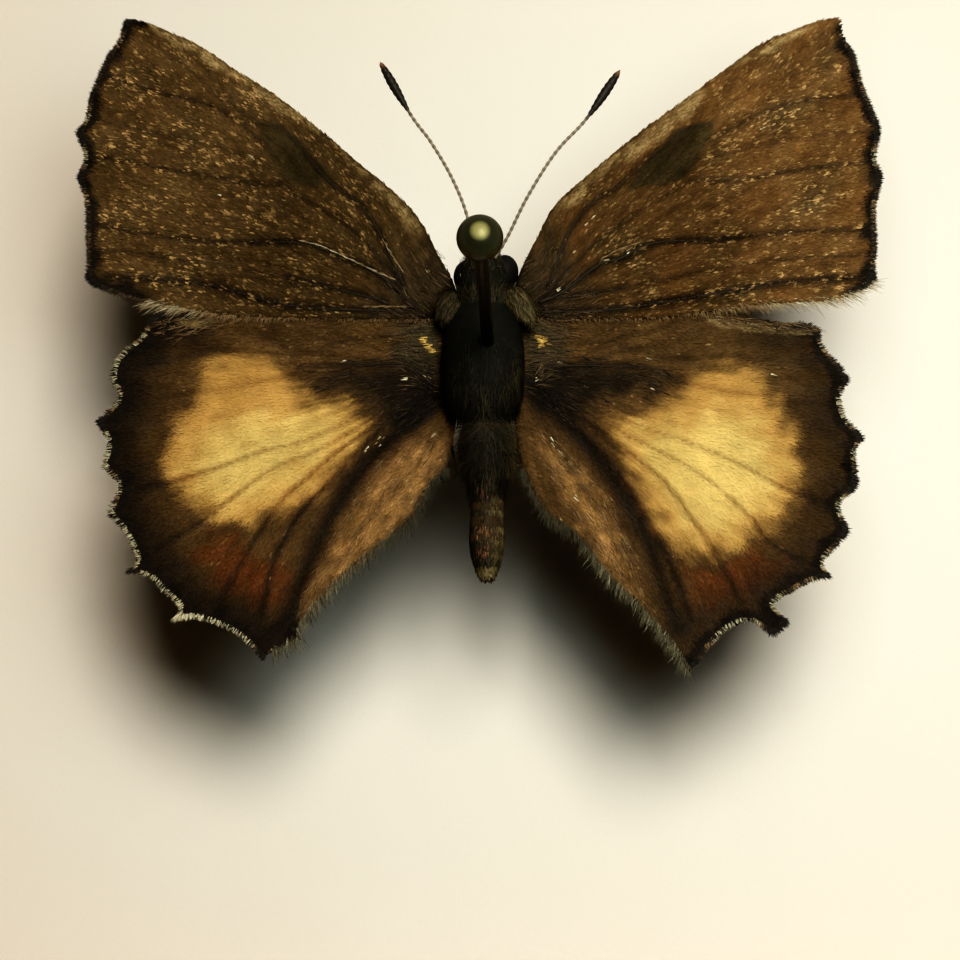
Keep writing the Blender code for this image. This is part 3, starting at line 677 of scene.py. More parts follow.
def softened(replaced, name, rounding, material, slot):
    """A copy of a CAD piece with its sharp outer edges rounded."""
    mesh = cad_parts[replaced].data.copy()
    form = bmesh.new()
    form.from_mesh(mesh)
    bmesh.ops.remove_doubles(form, verts=form.verts, dist=0.001 * MM)
    bmesh.ops.dissolve_limit(
        form, angle_limit=math.radians(1), verts=form.verts, edges=form.edges
    )
    bmesh.ops.recalc_face_normals(form, faces=form.faces)
    sharp = [edge for edge in form.edges if edge.is_convex and edge.calc_face_angle(0) > 0.5]
    bmesh.ops.bevel(
        form, geom=sharp, offset=rounding, segments=3, profile=0.6, affect="EDGES",
        clamp_overlap=True,
    )
    bmesh.ops.triangulate(form, faces=[face for face in form.faces if len(face.verts) > 4])
    form.to_mesh(mesh)
    form.free()
    mesh.name = name
    mesh.shade_smooth()
    mesh.set_sharp_from_angle(angle=math.radians(35))
    return show(name, mesh, material, slot, replaced)


# --- Node trees ---
class Value:
    """An output of a node in a tree; arithmetic on it adds Math nodes to that tree."""

    def __init__(self, tree, socket):
        self.tree, self.socket = tree, socket

    def __add__(self, other):
        return maths("ADD", self, other)

    def __sub__(self, other):
        return maths("SUBTRACT", self, other)

    def __rsub__(self, other):
        return maths("SUBTRACT", other, self)

    def __mul__(self, other):
        return maths("MULTIPLY", self, other)

    def __truediv__(self, other):
        return maths("DIVIDE", self, other)

    def __rtruediv__(self, other):
        return maths("DIVIDE", other, self)

    def __pow__(self, other):
        return maths("POWER", self, other)

    def ramp(self, low, high, first=0.0, second=1.0):
        """This value mapped from one range to another, with its ends held."""
        return out(self.tree, "ShaderNodeMapRange", "Result", {
            "Value": self, "From Min": low, "From Max": high, "To Min": first, "To Max": second,
        })

    def scaled(self, size):
        """This vector or colour times a number."""
        return out(self.tree, "ShaderNodeVectorMath", "Vector", {0: self, "Scale": size},
                   operation="SCALE")

    def split(self):
        """The three parts of this vector."""
        return list(node(self.tree, "ShaderNodeSeparateXYZ", {"Vector": self}).values())

    def into(self, target):
        """Link this value to an input."""
        self.tree.links.new(self.socket, target)


def node(tree, kind, inputs=(), **settings):
    """Add a node, fill its inputs by name or number, and return its outputs by name.

    A plain value for a colour has three parts.
    """
    made = tree.nodes.new(kind)
    for name, value in settings.items():
        setattr(made, name, value)
    for key, value in dict(inputs).items():
        target = made.inputs[key] if isinstance(key, int) else next(
            item for item in made.inputs if item.name == key and item.enabled
        )
        if isinstance(value, Value):
            value.into(target)
        else:
            target.default_value = (*value, 1) if target.type == "RGBA" else value
    return {item.name: Value(tree, item) for item in made.outputs if item.enabled}


def out(tree, kind, key, inputs=(), **settings):
    """Add a node and return one of its outputs."""
    return node(tree, kind, inputs, **settings)[key]


def maths(operation, *values):
    """The result of a Math node, with at least one value from a tree."""
    tree = next(value.tree for value in values if isinstance(value, Value))
    return out(tree, "ShaderNodeMath", "Value", dict(enumerate(values)), operation=operation)


def joined(tree, x, y, z):
    """A vector from its three parts."""
    return out(tree, "ShaderNodeCombineXYZ", "Vector", {"X": x, "Y": y, "Z": z})


SOCKETS = {float: "Float", int: "Int", 3: "Vector", 4: "Color"}


def new_group(kind, name, inputs, outputs):
    """A node group: its tree, its given and its result sockets.

    Each input and output is named, with the kind of its socket or with its usual value.
    """
    tree = bpy.data.node_groups.new(name, kind)
    for direction, sockets in (("INPUT", inputs), ("OUTPUT", outputs)):
        for label, value in sockets.items():
            usual = not isinstance(value, str)
            form = SOCKETS[len(value) if isinstance(value, tuple) else type(value)] if usual else value
            made = tree.interface.new_socket(
                name=label, in_out=direction, socket_type="NodeSocket" + form
            )
            if usual:
                made.default_value = value
    return tree, node(tree, "NodeGroupInput"), tree.nodes.new("NodeGroupOutput").inputs


def use_group(tree, group, inputs):
    """Place a node group in a tree and return its outputs."""
    return node(tree, type(tree).__name__.replace("Tree", "Group"), inputs, node_tree=group)


def passed(given, *names):
    """Inputs of one group, to be handed on to another."""
    return {name: given[name] for name in names}


SPREAD = ("Tilt", "Sway", "Seed", "Material")


def blade_group():
    """One scale or hair: a strip from its root along +Y, with a belly, a tip and a bend."""
    tree, given, result = new_group("GeometryNodeTree", "Blade", {
        "Length": MM, "Width": MM, "Root": 0.4, "Tip": 0.6, "Belly": 0.4, "Bend": 0.0, "Steps": 2,
    }, {"Blade": "Geometry"})
    grid = out(tree, "GeometryNodeMeshGrid", "Mesh", {
        "Size X": given["Width"], "Size Y": given["Length"], "Vertices X": 2,
        "Vertices Y": given["Steps"] + 1.0,
    })
    x, y, _ = out(tree, "GeometryNodeInputPosition", "Position").split()
    share = y / given["Length"] + 0.5
    rest = 1.0 - share
    ends = rest * given["Root"] + share * given["Tip"]
    breadth = ends + share * rest * (given["Belly"] * 4.0)
    kept = out(tree, "GeometryNodeStoreNamedAttribute", "Geometry", {
        "Geometry": grid, "Name": "along", "Value": share,
    }, data_type="FLOAT", domain="POINT")
    out(tree, "GeometryNodeSetPosition", "Geometry", {
        "Geometry": kept,
        "Position": joined(
            tree, x * breadth, share * given["Length"], share * share * given["Bend"]
        ),
    }).into(result["Blade"])
    return tree


def random_between(low, high, seed):
    """A random number for each point."""
    return out(seed.tree, "FunctionNodeRandomValue", "Value", {
        "Min": low, "Max": high, "Seed": seed,
    }, data_type="FLOAT")


def place_group():
    """Blades set on points: turned to a normal and a grain, varied, and made one mesh."""
    tree, given, result = new_group("GeometryNodeTree", "Place blades", {
        "Points": "Geometry", "Blade": "Geometry", "Normal": (0, 0, 1), "Grain": (0, 1, 0),
        "Size": (1, 1, 1), "Tilt": 0.2, "Sway": 0.2, "Seed": 0, "Material": "Material",
    }, {"Geometry": "Geometry"})
    facing = out(tree, "FunctionNodeAxesToRotation", "Rotation", {
        "Primary Axis": given["Normal"], "Secondary Axis": given["Grain"],
    }, primary_axis="Z", secondary_axis="Y")
    seeds = [given["Seed"] + float(step) for step in range(5)]
    sway = [random_between(given["Sway"] * -1.0, given["Sway"], seed) for seed in seeds[1:3]]
    lean = joined(tree, given["Tilt"] * random_between(0.3, 1.9, seeds[0]), *sway)
    turned = out(tree, "FunctionNodeRotateRotation", "Rotation", {
        "Rotation": facing,
        "Rotate By": out(tree, "FunctionNodeEulerToRotation", "Rotation", {"Euler": lean}),
    }, rotation_space="LOCAL")
    blades = out(tree, "GeometryNodeInstanceOnPoints", "Instances", {
        "Points": given["Points"], "Instance": given["Blade"], "Rotation": turned,
        "Scale": given["Size"].scaled(random_between(0.75, 1.2, seeds[3])),
    })
    marked = out(tree, "GeometryNodeStoreNamedAttribute", "Geometry", {
        "Geometry": blades, "Name": "chance", "Value": random_between(0.0, 1.0, seeds[4]),
    }, data_type="FLOAT", domain="INSTANCE")
    realized = out(tree, "GeometryNodeRealizeInstances", "Geometry", {"Geometry": marked})
    out(tree, "GeometryNodeSetMaterial", "Geometry", {
        "Geometry": realized, "Material": given["Material"],
    }).into(result["Geometry"])
    return tree


def named(tree, name, kind):
    """A stored attribute, as a field."""
    return out(tree, "GeometryNodeInputNamedAttribute", "Attribute", {"Name": name}, data_type=kind)


def scatter_tree():
    """Scales all over the upper face of a wing, along its grain."""
    tree, given, result = new_group("GeometryNodeTree", "Wing scales", {
        "Geometry": "Geometry", "Spacing": 0.06 * MM, "Density": 2e8, "Length": 0.24 * MM,
        "Width": 0.1 * MM, "Bend": 0.03 * MM, "Tilt": 0.2, "Sway": 0.2, "Seed": 0,
        "Material": "Material",
    }, {"Geometry": "Geometry"})
    roots = node(tree, "GeometryNodeDistributePointsOnFaces", {
        "Mesh": given["Geometry"], "Distance Min": given["Spacing"],
        "Density Max": given["Density"], "Density Factor": named(tree, "cover", "FLOAT"),
        "Seed": given["Seed"],
    }, distribute_method="POISSON")
    blade = use_group(tree, BLADE, {
        "Root": 0.35, "Tip": 0.55, "Belly": 0.55, "Steps": 2,
        **passed(given, "Length", "Width", "Bend"),
    })["Blade"]
    use_group(tree, PLACE, {
        "Points": roots["Points"], "Blade": blade, "Normal": roots["Normal"],
        "Grain": named(tree, "grain", "FLOAT_VECTOR"), **passed(given, *SPREAD),
    })["Geometry"].into(result["Geometry"])
    return tree


def hair_tree():
    """Hairs on given roots, which carry their own direction, length and breadth."""
    tree, given, result = new_group("GeometryNodeTree", "Hairs", {
        "Geometry": "Geometry", "Tip": 0.15, "Belly": 0.2, "Bend": -0.12 * MM, "Steps": 3,
        "Tilt": 0.15, "Sway": 0.15, "Seed": 0, "Material": "Material",
    }, {"Geometry": "Geometry"})
    blade = use_group(tree, BLADE, {
        "Root": 0.8, **passed(given, "Tip", "Belly", "Bend", "Steps"),
    })["Blade"]
    broad, long = named(tree, "broad", "FLOAT"), named(tree, "long", "FLOAT")
    up, lie = named(tree, "up", "FLOAT_VECTOR"), named(tree, "lie", "FLOAT_VECTOR")
    use_group(tree, PLACE, {
        "Points": given["Geometry"], "Blade": blade, "Normal": up, "Grain": lie,
        "Size": joined(tree, broad, long, long), **passed(given, *SPREAD),
    })["Geometry"].into(result["Geometry"])
    return tree


def grown(name, mesh, tree, settings):
    """The plain mesh that a Geometry Nodes tree grows on a mesh."""
    source = bpy.data.objects.new(name + "_source", mesh)
    bpy.context.scene.collection.objects.link(source)
    modifier = source.modifiers.new("Grow", "NODES")
    modifier.node_group = tree
    for item in tree.interface.items_tree:
        if item.in_out == "INPUT" and item.name in settings:
            modifier[item.identifier] = settings[item.name]
    bpy.context.view_layer.update()
    graph = bpy.context.evaluated_depsgraph_get()
    result = bpy.data.meshes.new_from_object(
        source.evaluated_get(graph), preserve_all_data_layers=True, depsgraph=graph
    )
    result.name = name
    bpy.data.objects.remove(source, do_unlink=True)
    if not result.polygons:
        raise RuntimeError(f"{name} grew nothing")
    return result


def plant(name, roots, material, slot, seed, **settings):
    """Show hairs on roots: a list of (places, directions, normals, lengths, breadths, tones)."""
    form = Form()
    for places, lie, up, long, broad, tone in roots:
        count = len(places)
        form.add(
            places, [], lie=np.broadcast_to(lie, (count, 3)), up=np.broadcast_to(up, (count, 3)),
            long=np.broadcast_to(long, count), broad=np.broadcast_to(broad, count),
            tone=np.broadcast_to(tone, count),
        )
    wanted = {"Seed": seed, "Material": material, **settings}
    return show(name, grown(name, form.mesh(name), HAIRS, wanted), None, slot)


# --- Shader groups ---
def blend(share, first, second, kind="RGBA"):
    """The result of a Mix node."""
    return out(share.tree, "ShaderNodeMix", "Result", {
        "Factor": share, "A": first, "B": second,
    }, data_type=kind)


def attribute(tree, name):
    """The outputs of an Attribute node, which reads a stored value."""
    return node(tree, "ShaderNodeAttribute", attribute_name=name)


def stretched(vector, scale):
    """A vector with its three parts scaled."""
    return out(vector.tree, "ShaderNodeMapping", "Vector", {"Vector": vector, "Scale": scale})


def noise(vector, scale, detail=2.0, rough=0.5):
    """A noise value."""
    return next(iter(node(vector.tree, "ShaderNodeTexNoise", {
        "Vector": vector, "Scale": scale, "Detail": detail, "Roughness": rough,
    }).values()))


def in_millimetres(tree, turn=0.0):
    """Object coordinates in millimetres, turned about Z."""
    return out(tree, "ShaderNodeMapping", "Vector", {
        "Vector": out(tree, "ShaderNodeTexCoord", "Object"), "Rotation": (0, 0, turn),
        "Scale": (1 / MM, 1 / MM, 1 / MM),
    })


PAINTED = {"Color": "Color", "Height": "Float"}


def wood_group():
    """Growth rings round a far pith, with pores along the grain, which runs along X."""
    tree, given, result = new_group("ShaderNodeTree", "Wood grain", {
        "Vector": (0, 0, 0), "Light": (1, 1, 1, 1), "Dark": (0, 0, 0, 1), "Ring width": 1.3,
        "Pores": 0.5,
    }, PAINTED)
    place = given["Vector"]
    _, across, up = place.split()
    pith_y, pith_z = 19.0, 33.0
    reach = maths("SQRT", (across + pith_y) ** 2.0 + (up + pith_z) ** 2.0)
    reach = reach + noise(stretched(place, (0.03, 0.22, 0.22)), 1.0, 3.0) * 9.0
    ring = maths("FRACT", reach / given["Ring width"])
    late = ring ** 2.5 * ring.ramp(0.93, 1.0, 1.0, 0.0)
    pore = noise(stretched(place, (0.16, 5.5, 5.5)), 1.0, 2.0, 0.6).ramp(0.60, 0.72)
    pore = pore * given["Pores"]
    cloud = noise(stretched(place, (0.02, 0.5, 0.5)), 1.0, 3.0).ramp(0.3, 0.7, 0.0, 0.35)
    share = late * 0.6 + (pore + cloud)
    blend(share, given["Light"], given["Dark"]).into(result["Color"])
    (late * 0.3 - pore + 0.5).into(result["Height"])
    return tree


def mottle_group():
    """Cloudy ageing and fine grain, for paper, foam, plastic, metal and insect skin."""
    tree, given, result = new_group("ShaderNodeTree", "Mottle", {
        "Vector": (0, 0, 0), "Clean": (1, 1, 1, 1), "Aged": (0.5, 0.5, 0.5, 1),
        "Cloud size": 10.0, "Grain size": 0.3, "Age": 0.5,
    }, {**PAINTED, "Cloud": "Float"})
    cloud = noise(given["Vector"], 1.0 / given["Cloud size"], 4.0, 0.6).ramp(0.3, 0.75)
    grain = noise(given["Vector"], 1.0 / given["Grain size"], 3.0, 0.7)
    share = given["Age"] * (cloud + grain.ramp(0.3, 0.7, -0.25, 0.25))
    blend(share, given["Clean"], given["Aged"]).into(result["Color"])
    cloud.into(result["Cloud"])
    grain.into(result["Height"])
    return tree


WING_PAINTS = ["disc", "core", "rust", "brand", "margin", "anal", "olive", "pale", "fleck",
               "underside"]


def wing_group():
    """Colour of a wing from its stored marks, streaked outwards from its root."""
    names = ["Ground", "Second", *(name.title() for name in WING_PAINTS)]
    tree, given, result = new_group(
        "ShaderNodeTree", "Wing pattern", {name: (0, 0, 0, 1) for name in names},
        {"Color": "Color", "Dull": "Float"},
    )
    marks, tones, traits = (attribute(tree, name) for name in ("marks", "tones", "traits"))
    mark, tone, trait = (
        node(tree, "ShaderNodeSeparateColor", {"Color": stored["Color"]})
        for stored in (marks, tones, traits)
    )
    chance = attribute(tree, "chance")["Fac"]
    flow = attribute(tree, "flow")["Vector"]
    streak = noise(stretched(flow, (0.35, 2.6, 1.0)), 1.0, 3.0, 0.6).ramp(0.32, 0.68)
    spark = noise(stretched(flow, (2.6, 7.0, 1.0)), 1.0, 2.0, 0.6).ramp(0.32, 0.68)
    sway = streak - 0.5

    def frayed(share, reach):
        return share + share * (1.0 - share) * sway * reach

    colour = blend(traits["Alpha"], given["Ground"], given["Second"])
    for share, name in (
        (tone["Green"], "Anal"), (tone["Blue"], "Olive"), (frayed(mark["Red"], 1.6), "Disc"),
        (frayed(mark["Green"], 2.0), "Core"), (frayed(mark["Blue"], 2.5), "Rust"),
        (marks["Alpha"], "Brand"), (frayed(tone["Red"], 2.0), "Margin"),
    ):
        colour = blend(share, colour, given[name])
    # Vein lines: partly darker scales, partly painted shade beside the raised veins.
    dark = blend(mark["Red"], given["Margin"], given["Rust"])
    colour = blend(trait["Green"] * mark["Green"].ramp(0.0, 1.0, 1.0, 0.85), colour, dark)

    # Scattered golden scales: painted glints that stand for the sparkle of lit scales.
    gleam = ((spark + chance) * 0.5 + trait["Red"]).ramp(0.93, 1.22, 0.0, 0.9)
    colour = blend(gleam, colour, given["Fleck"])
    shuffled = maths("FRACT", chance * 37.0)
    spread = shuffled.ramp(0.0, 1.0, 0.8, 1.2) * streak.ramp(0.0, 1.0, 0.74, 1.24)
    spread = blend(mark["Red"] * 0.72, spread, 1.0, "FLOAT")
    lit = spread * (trait["Blue"] * 2.0)
    # Each scale is painted darker at its root and lighter at its tip: painted shade and light along the
    # scale.
    lit = lit * attribute(tree, "along")["Fac"].ramp(0.0, 1.0, 0.9, 1.06)
    pale = tones["Alpha"] * shuffled.ramp(0.0, 1.0, 0.45, 1.5)
    colour = blend(pale, colour.scaled(lit), given["Pale"])
    upper = attribute(tree, "cover")["Fac"]
    blend(upper, given["Underside"], colour).into(result["Color"])
    shuffled.ramp(0.0, 1.0, 0.5, 0.8).into(result["Dull"])
    return tree


def hair_group():
    """Colour of a hair from its stored tone, a little different on each hair."""
    tree, given, result = new_group("ShaderNodeTree", "Hair colour", {
        name: (0, 0, 0, 1) for name in ("Dark", "Middle", "Pale", "Rusty")
    }, {"Color": "Color"})
    tone = attribute(tree, "tone")["Fac"]
    colour = blend(tone.ramp(0.0, 0.5), given["Dark"], given["Middle"])
    colour = blend(tone.ramp(0.5, 1.0), colour, given["Pale"])
    colour = blend(tone.ramp(1.4, 1.6), colour, given["Rusty"])
    lit = attribute(tree, "chance")["Fac"].ramp(0.0, 1.0, 0.6, 1.35)
    colour.scaled(lit).into(result["Color"])
    return tree


# --- Materials ---
def new_material(name, **settings):
    """A Principled material: its tree and its shader, with plain values set on the shader."""
    material = bpy.data.materials.new(name)
    material.use_nodes = True
    shader = material.node_tree.nodes["Principled BSDF"]
    for key, value in settings.items():
        shader.inputs[key.replace("_", " ").title().replace("Ior", "IOR")].default_value = value
    return material, material.node_tree, shader.inputs


def bumped(inputs, height, depth):
    """Feed a height, which runs from 0 to 1, to a shader's normal as a bump so many metres deep."""
    out(height.tree, "ShaderNodeBump", "Normal", {
        "Height": height, "Distance": depth,
    }).into(inputs["Normal"])


def wing_material(name, ground, second, colours):
    """Scales and membrane of a wing."""
    material, tree, inputs = new_material(
        name, specular_ior_level=0.06, specular_tint=(1.0, 0.78, 0.45, 1)
    )
    pattern = use_group(tree, WING_PATTERN, {
        "Ground": ground, "Second": second,
        **{key.title(): getattr(colours, key) for key in WING_PAINTS},
    })
    pattern["Color"].into(inputs["Base Color"])
    pattern["Dull"].into(inputs["Roughness"])
    bumped(inputs, noise(in_millimetres(tree), 14.0), 0.01 * MM)
    return material


def hair_material(name, dark, middle, pale, rusty):
    """Hairs of one range of colours."""
    material, tree, inputs = new_material(name, roughness=0.65, specular_ior_level=0.12)
    use_group(tree, HAIR_COLOUR, {
        "Dark": dark, "Middle": middle, "Pale": pale, "Rusty": rusty,
    })["Color"].into(inputs["Base Color"])
    return material


def mottled_material(name, clean, aged, cloud, grain, age, depth, dull=None, painted=None,
                     **settings):
    """A surface with cloudy ageing and a fine relief; it may be duller in its clouds, or painted.

    Aged is a colour or a share of the clean one; cloud and grain are sizes in millimetres.
    """
    material, tree, inputs = new_material(name, **settings)
    looks = use_group(tree, MOTTLE, {
        "Vector": in_millimetres(tree), "Clean": clean, "Cloud size": cloud, "Grain size": grain,
        "Aged": [part * aged for part in clean] if isinstance(aged, float) else aged, "Age": age,
    })
    colour = painted(looks["Color"]) if painted else looks["Color"]
    colour.into(inputs["Base Color"])
    if dull:
        looks["Cloud"].ramp(0.0, 1.0, *dull).into(inputs["Roughness"])
    bumped(inputs, looks["Height"], depth)
    return material


def oak_material(name, settings, turn):
    """Oiled oak with its grain along X, or along Y where it is turned."""
    material, tree, inputs = new_material(name, roughness=0.42)
    looks = use_group(tree, WOOD, {
        "Vector": in_millimetres(tree, turn), "Light": settings.wood_light,
        "Dark": settings.wood_dark, "Ring width": settings.ring_width / MM, "Pores": 0.6,
    })
    looks["Color"].into(inputs["Base Color"])
    looks["Height"].ramp(0.0, 1.0, 0.6, 0.38).into(inputs["Roughness"])
    bumped(inputs, looks["Height"], 0.05 * MM)
    return material


def plywood_material(settings):
    """Three veneers with dark glue lines, the middle one with its grain across the others."""
    material, tree, inputs = new_material("birch_plywood", roughness=0.6)
    low, high = (corner.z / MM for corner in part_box("bottom_board"))
    ply = (high - low) / 3
    glue_line = 0.05
    level = in_millimetres(tree).split()[2]
    outer, inner = (
        use_group(tree, WOOD, {
            "Vector": in_millimetres(tree, turn), "Light": settings.ply_light,
            "Dark": settings.ply_dark, "Ring width": 2.4, "Pores": pores,
        }) for turn, pores in ((0.0, 0.25), (math.pi / 2, 0.7))
    )
    middle = maths("COMPARE", level, (low + high) / 2, ply / 2)
    colour = blend(middle, outer["Color"], inner["Color"])
    glue = maths("COMPARE", maths("PINGPONG", level - low, ply), ply, glue_line)
    glue = glue * maths("LESS_THAN", level, high - 0.5 * ply)
    glue = glue * maths("GREATER_THAN", level, low + 0.2)
    blend(glue * 0.6, colour, settings.wood_dark).into(inputs["Base Color"])
    bumped(inputs, outer["Height"], 0.04 * MM)
    return material


def chitin_material(name, colour, roughness, gloss=0.4, painted=None):
    """Hard insect skin: dark, a little glossy, with fine wrinkles; it may be painted over."""
    return mottled_material(
        name, colour, 0.45, cloud=0.5, grain=0.05, age=0.6, depth=0.008 * MM, painted=painted,
        roughness=roughness, specular_ior_level=gloss,
    )


# --- Wings ---
RIDGE_WIDTH, FOLD_WIDTH = 0.16, 0.28
RIM_STEP = 0.05  # between the points of the rim that bear its fringe
CALM_WINDOW = 41  # points over which the rim's teeth are evened out
# Rows of the outer fringe: count, distance inside the rim, length, how pale its gaps are.
FRINGE_ROWS = [(2200, 0.16, 0.25, 1.0), (2400, 0.2, 0.3, 0.0)]
INNER_HAIRS = {"fore": 1200, "hind": 1100}
FORE_BASE = [(1.6, 1.0), (1.7, 3.8), (3.2, 3.6), (4.6, 1.1)]  # haired part of a right forewing
# Long hairs on parts of the wings: count, length, tone.
FORE_HAIRS, TUFT_HAIRS = (420, 0.5, 0.14), (120, 0.5, 0.4)
HIND_HAIRS = {"root_olive": (500, 0.55, 0.15), "anal": (600, 0.35, 0.35), "base_dark": (400, 0.45, 0.0)}
SCALE_DENSITY = 4.2e8  # scales tried on a square metre
SCALE_BEND = 0.02 * MM
SCALE_TILT = {"forewing": 0.14, "hindwing": 0.09}
SCALE_SWAY = 0.16
VEIN_COLOUR = shade(34, 26, 15)
# Colours of the painted golden glints by the hindwing roots.
GOLD_DARK, GOLD_MIDDLE = shade(90, 62, 26), shade(150, 110, 48)


def is_fore(wing):
    """Whether a wing is a forewing."""
    return wing["node"].startswith("fore")


def vein_paths(wing):
    """The wing's veins as smooth paths."""
    return {name: smooth(path, 6) for name, path in wing["veins"].items()}


def wing_face(wing, points, lift=0.0):
    """Points over the wing's upper face: its ridges, folds and waves, lifted a little."""
    points = np.asarray(points, float)
    height = WING_HEIGHT - (0.0 if is_fore(wing) else HINDWING_DROP)
    if not is_fore(wing):
        height = height + 0.3 * fade(-0.6, 0.9, points[:, 1])
    height = height + math.tan(DIHEDRAL) * (np.abs(points[:, 0]) - WING_ROOT_X)
    height += 0.05 * ripple(points, 3.5, 7) + 0.012 * ripple(points, 0.9, 8)
    for name, path in vein_paths(wing).items():
        width = FOLD_WIDTH if name == "fold" else RIDGE_WIDTH
        distance, share, _ = nearest(points, path)
        height += VEIN_LOOKS[name][1] * (1 - 0.75 * share) * bell(distance, width)
    return np.column_stack((points, height + lift))


def wing_grain(wing, points):
    """Direction of the scales at each point, blended from the veins near it."""
    total = np.zeros((len(points), 2))
    for path in vein_paths(wing).values():
        distance, _, ahead = nearest(points, path)
        total += ahead / (distance[:, None] + 0.2) ** 2
    return unit(total)


def wing_values(wing, points, seed):
    """The stored marks of a wing at points of its plan."""
    shapes, fore = wing["patches"], is_fore(wing)
    nothing = np.zeros(len(points))

    def mark(name, blur, wander=0.2):
        return patch(points, shapes[name], blur, wander, seed) if name in shapes else nothing

    steps = 6
    rim = smooth(wing["outline"], steps, closed=True)
    first, last = wing["margin"]
    outer = nearest(points, rim[first * steps:last * steps + 1])[0]
    wavy = outer + 0.12 * ripple(points, 0.8, seed + 3)
    reach = np.hypot(points[:, 0], points[:, 1] - (1.0 if fore else -1.0))
    streaks = ripple(points, 2.2, seed + 5)
    fine = ripple(points, 0.7, seed + 6)

    marks = np.column_stack((
        mark("disc", 1.3), mark("disc_core", 2.6, 0.3), 0.85 * mark("rust", 1.5, 0.3),
        mark("brand", 0.16, 0.05),
    ))
    if fore:
        margin = fade(0.7, 0.36, wavy)
        margin = np.maximum(margin, 0.7 * fade(5.5, 1.2, reach + 0.8 * fine))
        second = np.clip(0.35 + 0.35 * streaks + 0.4 * fade(8.5, 2.5, reach), 0, 1)
        olive = 0.4 * fade(3.5, 1.5, reach)
        # Share of painted glints: golden scales where lit scales would sparkle.
        painted_glint_share = 0.28 + 0.06 * streaks + 0.06 * fine - 0.3 * marks[:, 3]
        painted_glint_share = painted_glint_share - 0.3 * fade(6.5, 2.5, reach) - 0.4 * margin
        light = 0.5 + 0.05 * streaks + 0.04 * fine
        light *= 0.92 - 0.22 * fade(3.5, 7.0, reach) + 0.34 * fade(9.0, 13.5, reach)
        pale = np.maximum.reduce([
            0.75 * mark("costa_tip", 0.25, 0.06), 0.5 * mark("costa_middle", 0.35, 0.08),
            0.5 * mark("costa_base", 0.5, 0.1),
        ]) * np.clip(0.7 + 0.5 * fine, 0, 1)
        anal = nothing
    else:
        # The fold's dark band is partly darker scales and partly painted shade in its crease. The inner
        # border band is made stronger on the left hindwing than on the right: painted shade on the side
        # away from the light.
        margin = np.clip(
            fade(0.7, 0.3, wavy)
            + (0.9 if points[0, 0] < 0 else 0.6) * fade(2.5, 0.7, wavy)
            + 0.9 * mark("base_dark", 1.2)
            + 0.55 * bell(nearest(points, vein_paths(wing)["fold"])[0], 0.5), 0, 1,
        ) * (1 - 0.8 * marks[:, 1])
        second = np.clip(0.45 + 0.4 * streaks, 0, 1)
        olive = 0.8 * mark("root_olive", 1.1)
        anal = mark("anal", 1.0) * np.clip(0.85 + 0.25 * fine, 0, 1)
        # Share of painted glints on the hindwing.
        painted_glint_share = 0.10 + 0.05 * fine + 0.10 * anal - 0.4 * margin - 0.5 * marks[:, 0]
        light = 0.5 + 0.04 * streaks + 0.03 * fine
        pale = 0.8 * mark("costa_tip", 0.4, 0.05)

    # Dark lines along the veins and the fold: partly darker scales, partly painted shade beside the ridges.
    vein = nothing.copy()
    for name, path in vein_paths(wing).items():
        _, _, first_dark, last_dark, width = VEIN_LOOKS[name]
        distance, share, _ = nearest(points, path)
        if not fore and name not in ("fold", "radius"):
            width = width * (0.5 + 0.6 * share)
        line = first_dark + (last_dark - first_dark) * share
        if not fore and name == "anal_vein":
            line = 0.4 * line
        vein = np.maximum(vein, line * bell(distance, width))
    side = np.sign(points[0, 0])
    fan = points - (1.2 * side, 0.8 if fore else -1.2)
    angle = np.arctan2(fan[:, 1], side * fan[:, 0])
    return {
        "marks": marks,
        "tones": np.column_stack((margin, anal, olive, pale)),
        "traits": np.column_stack((np.clip(painted_glint_share, -1, 1), vein, light, second)),
        "flow": np.column_stack((np.hypot(*fan.T), 7 * angle, np.full(len(points), 0.1 * seed))),
    }


def beside(loop):
    """Unit vectors to the right of a closed path."""
    ahead = unit(np.roll(loop, -1, axis=0) - np.roll(loop, 1, axis=0))
    return np.column_stack((ahead[:, 1], -ahead[:, 0]))


def wing_rim(wing, inset, step):
    """Points along the wing's edge, moved inwards, and the directions outwards from it."""
    rim = evenly(smooth(wing["outline"], 8, closed=True), step)[:-1]
    x, y = rim.T
    turned_left = (x * np.roll(y, -1) - np.roll(x, -1) * y).sum() > 0
    outwards = beside(rim) if turned_left else -beside(rim)
    return rim - inset * outwards, outwards


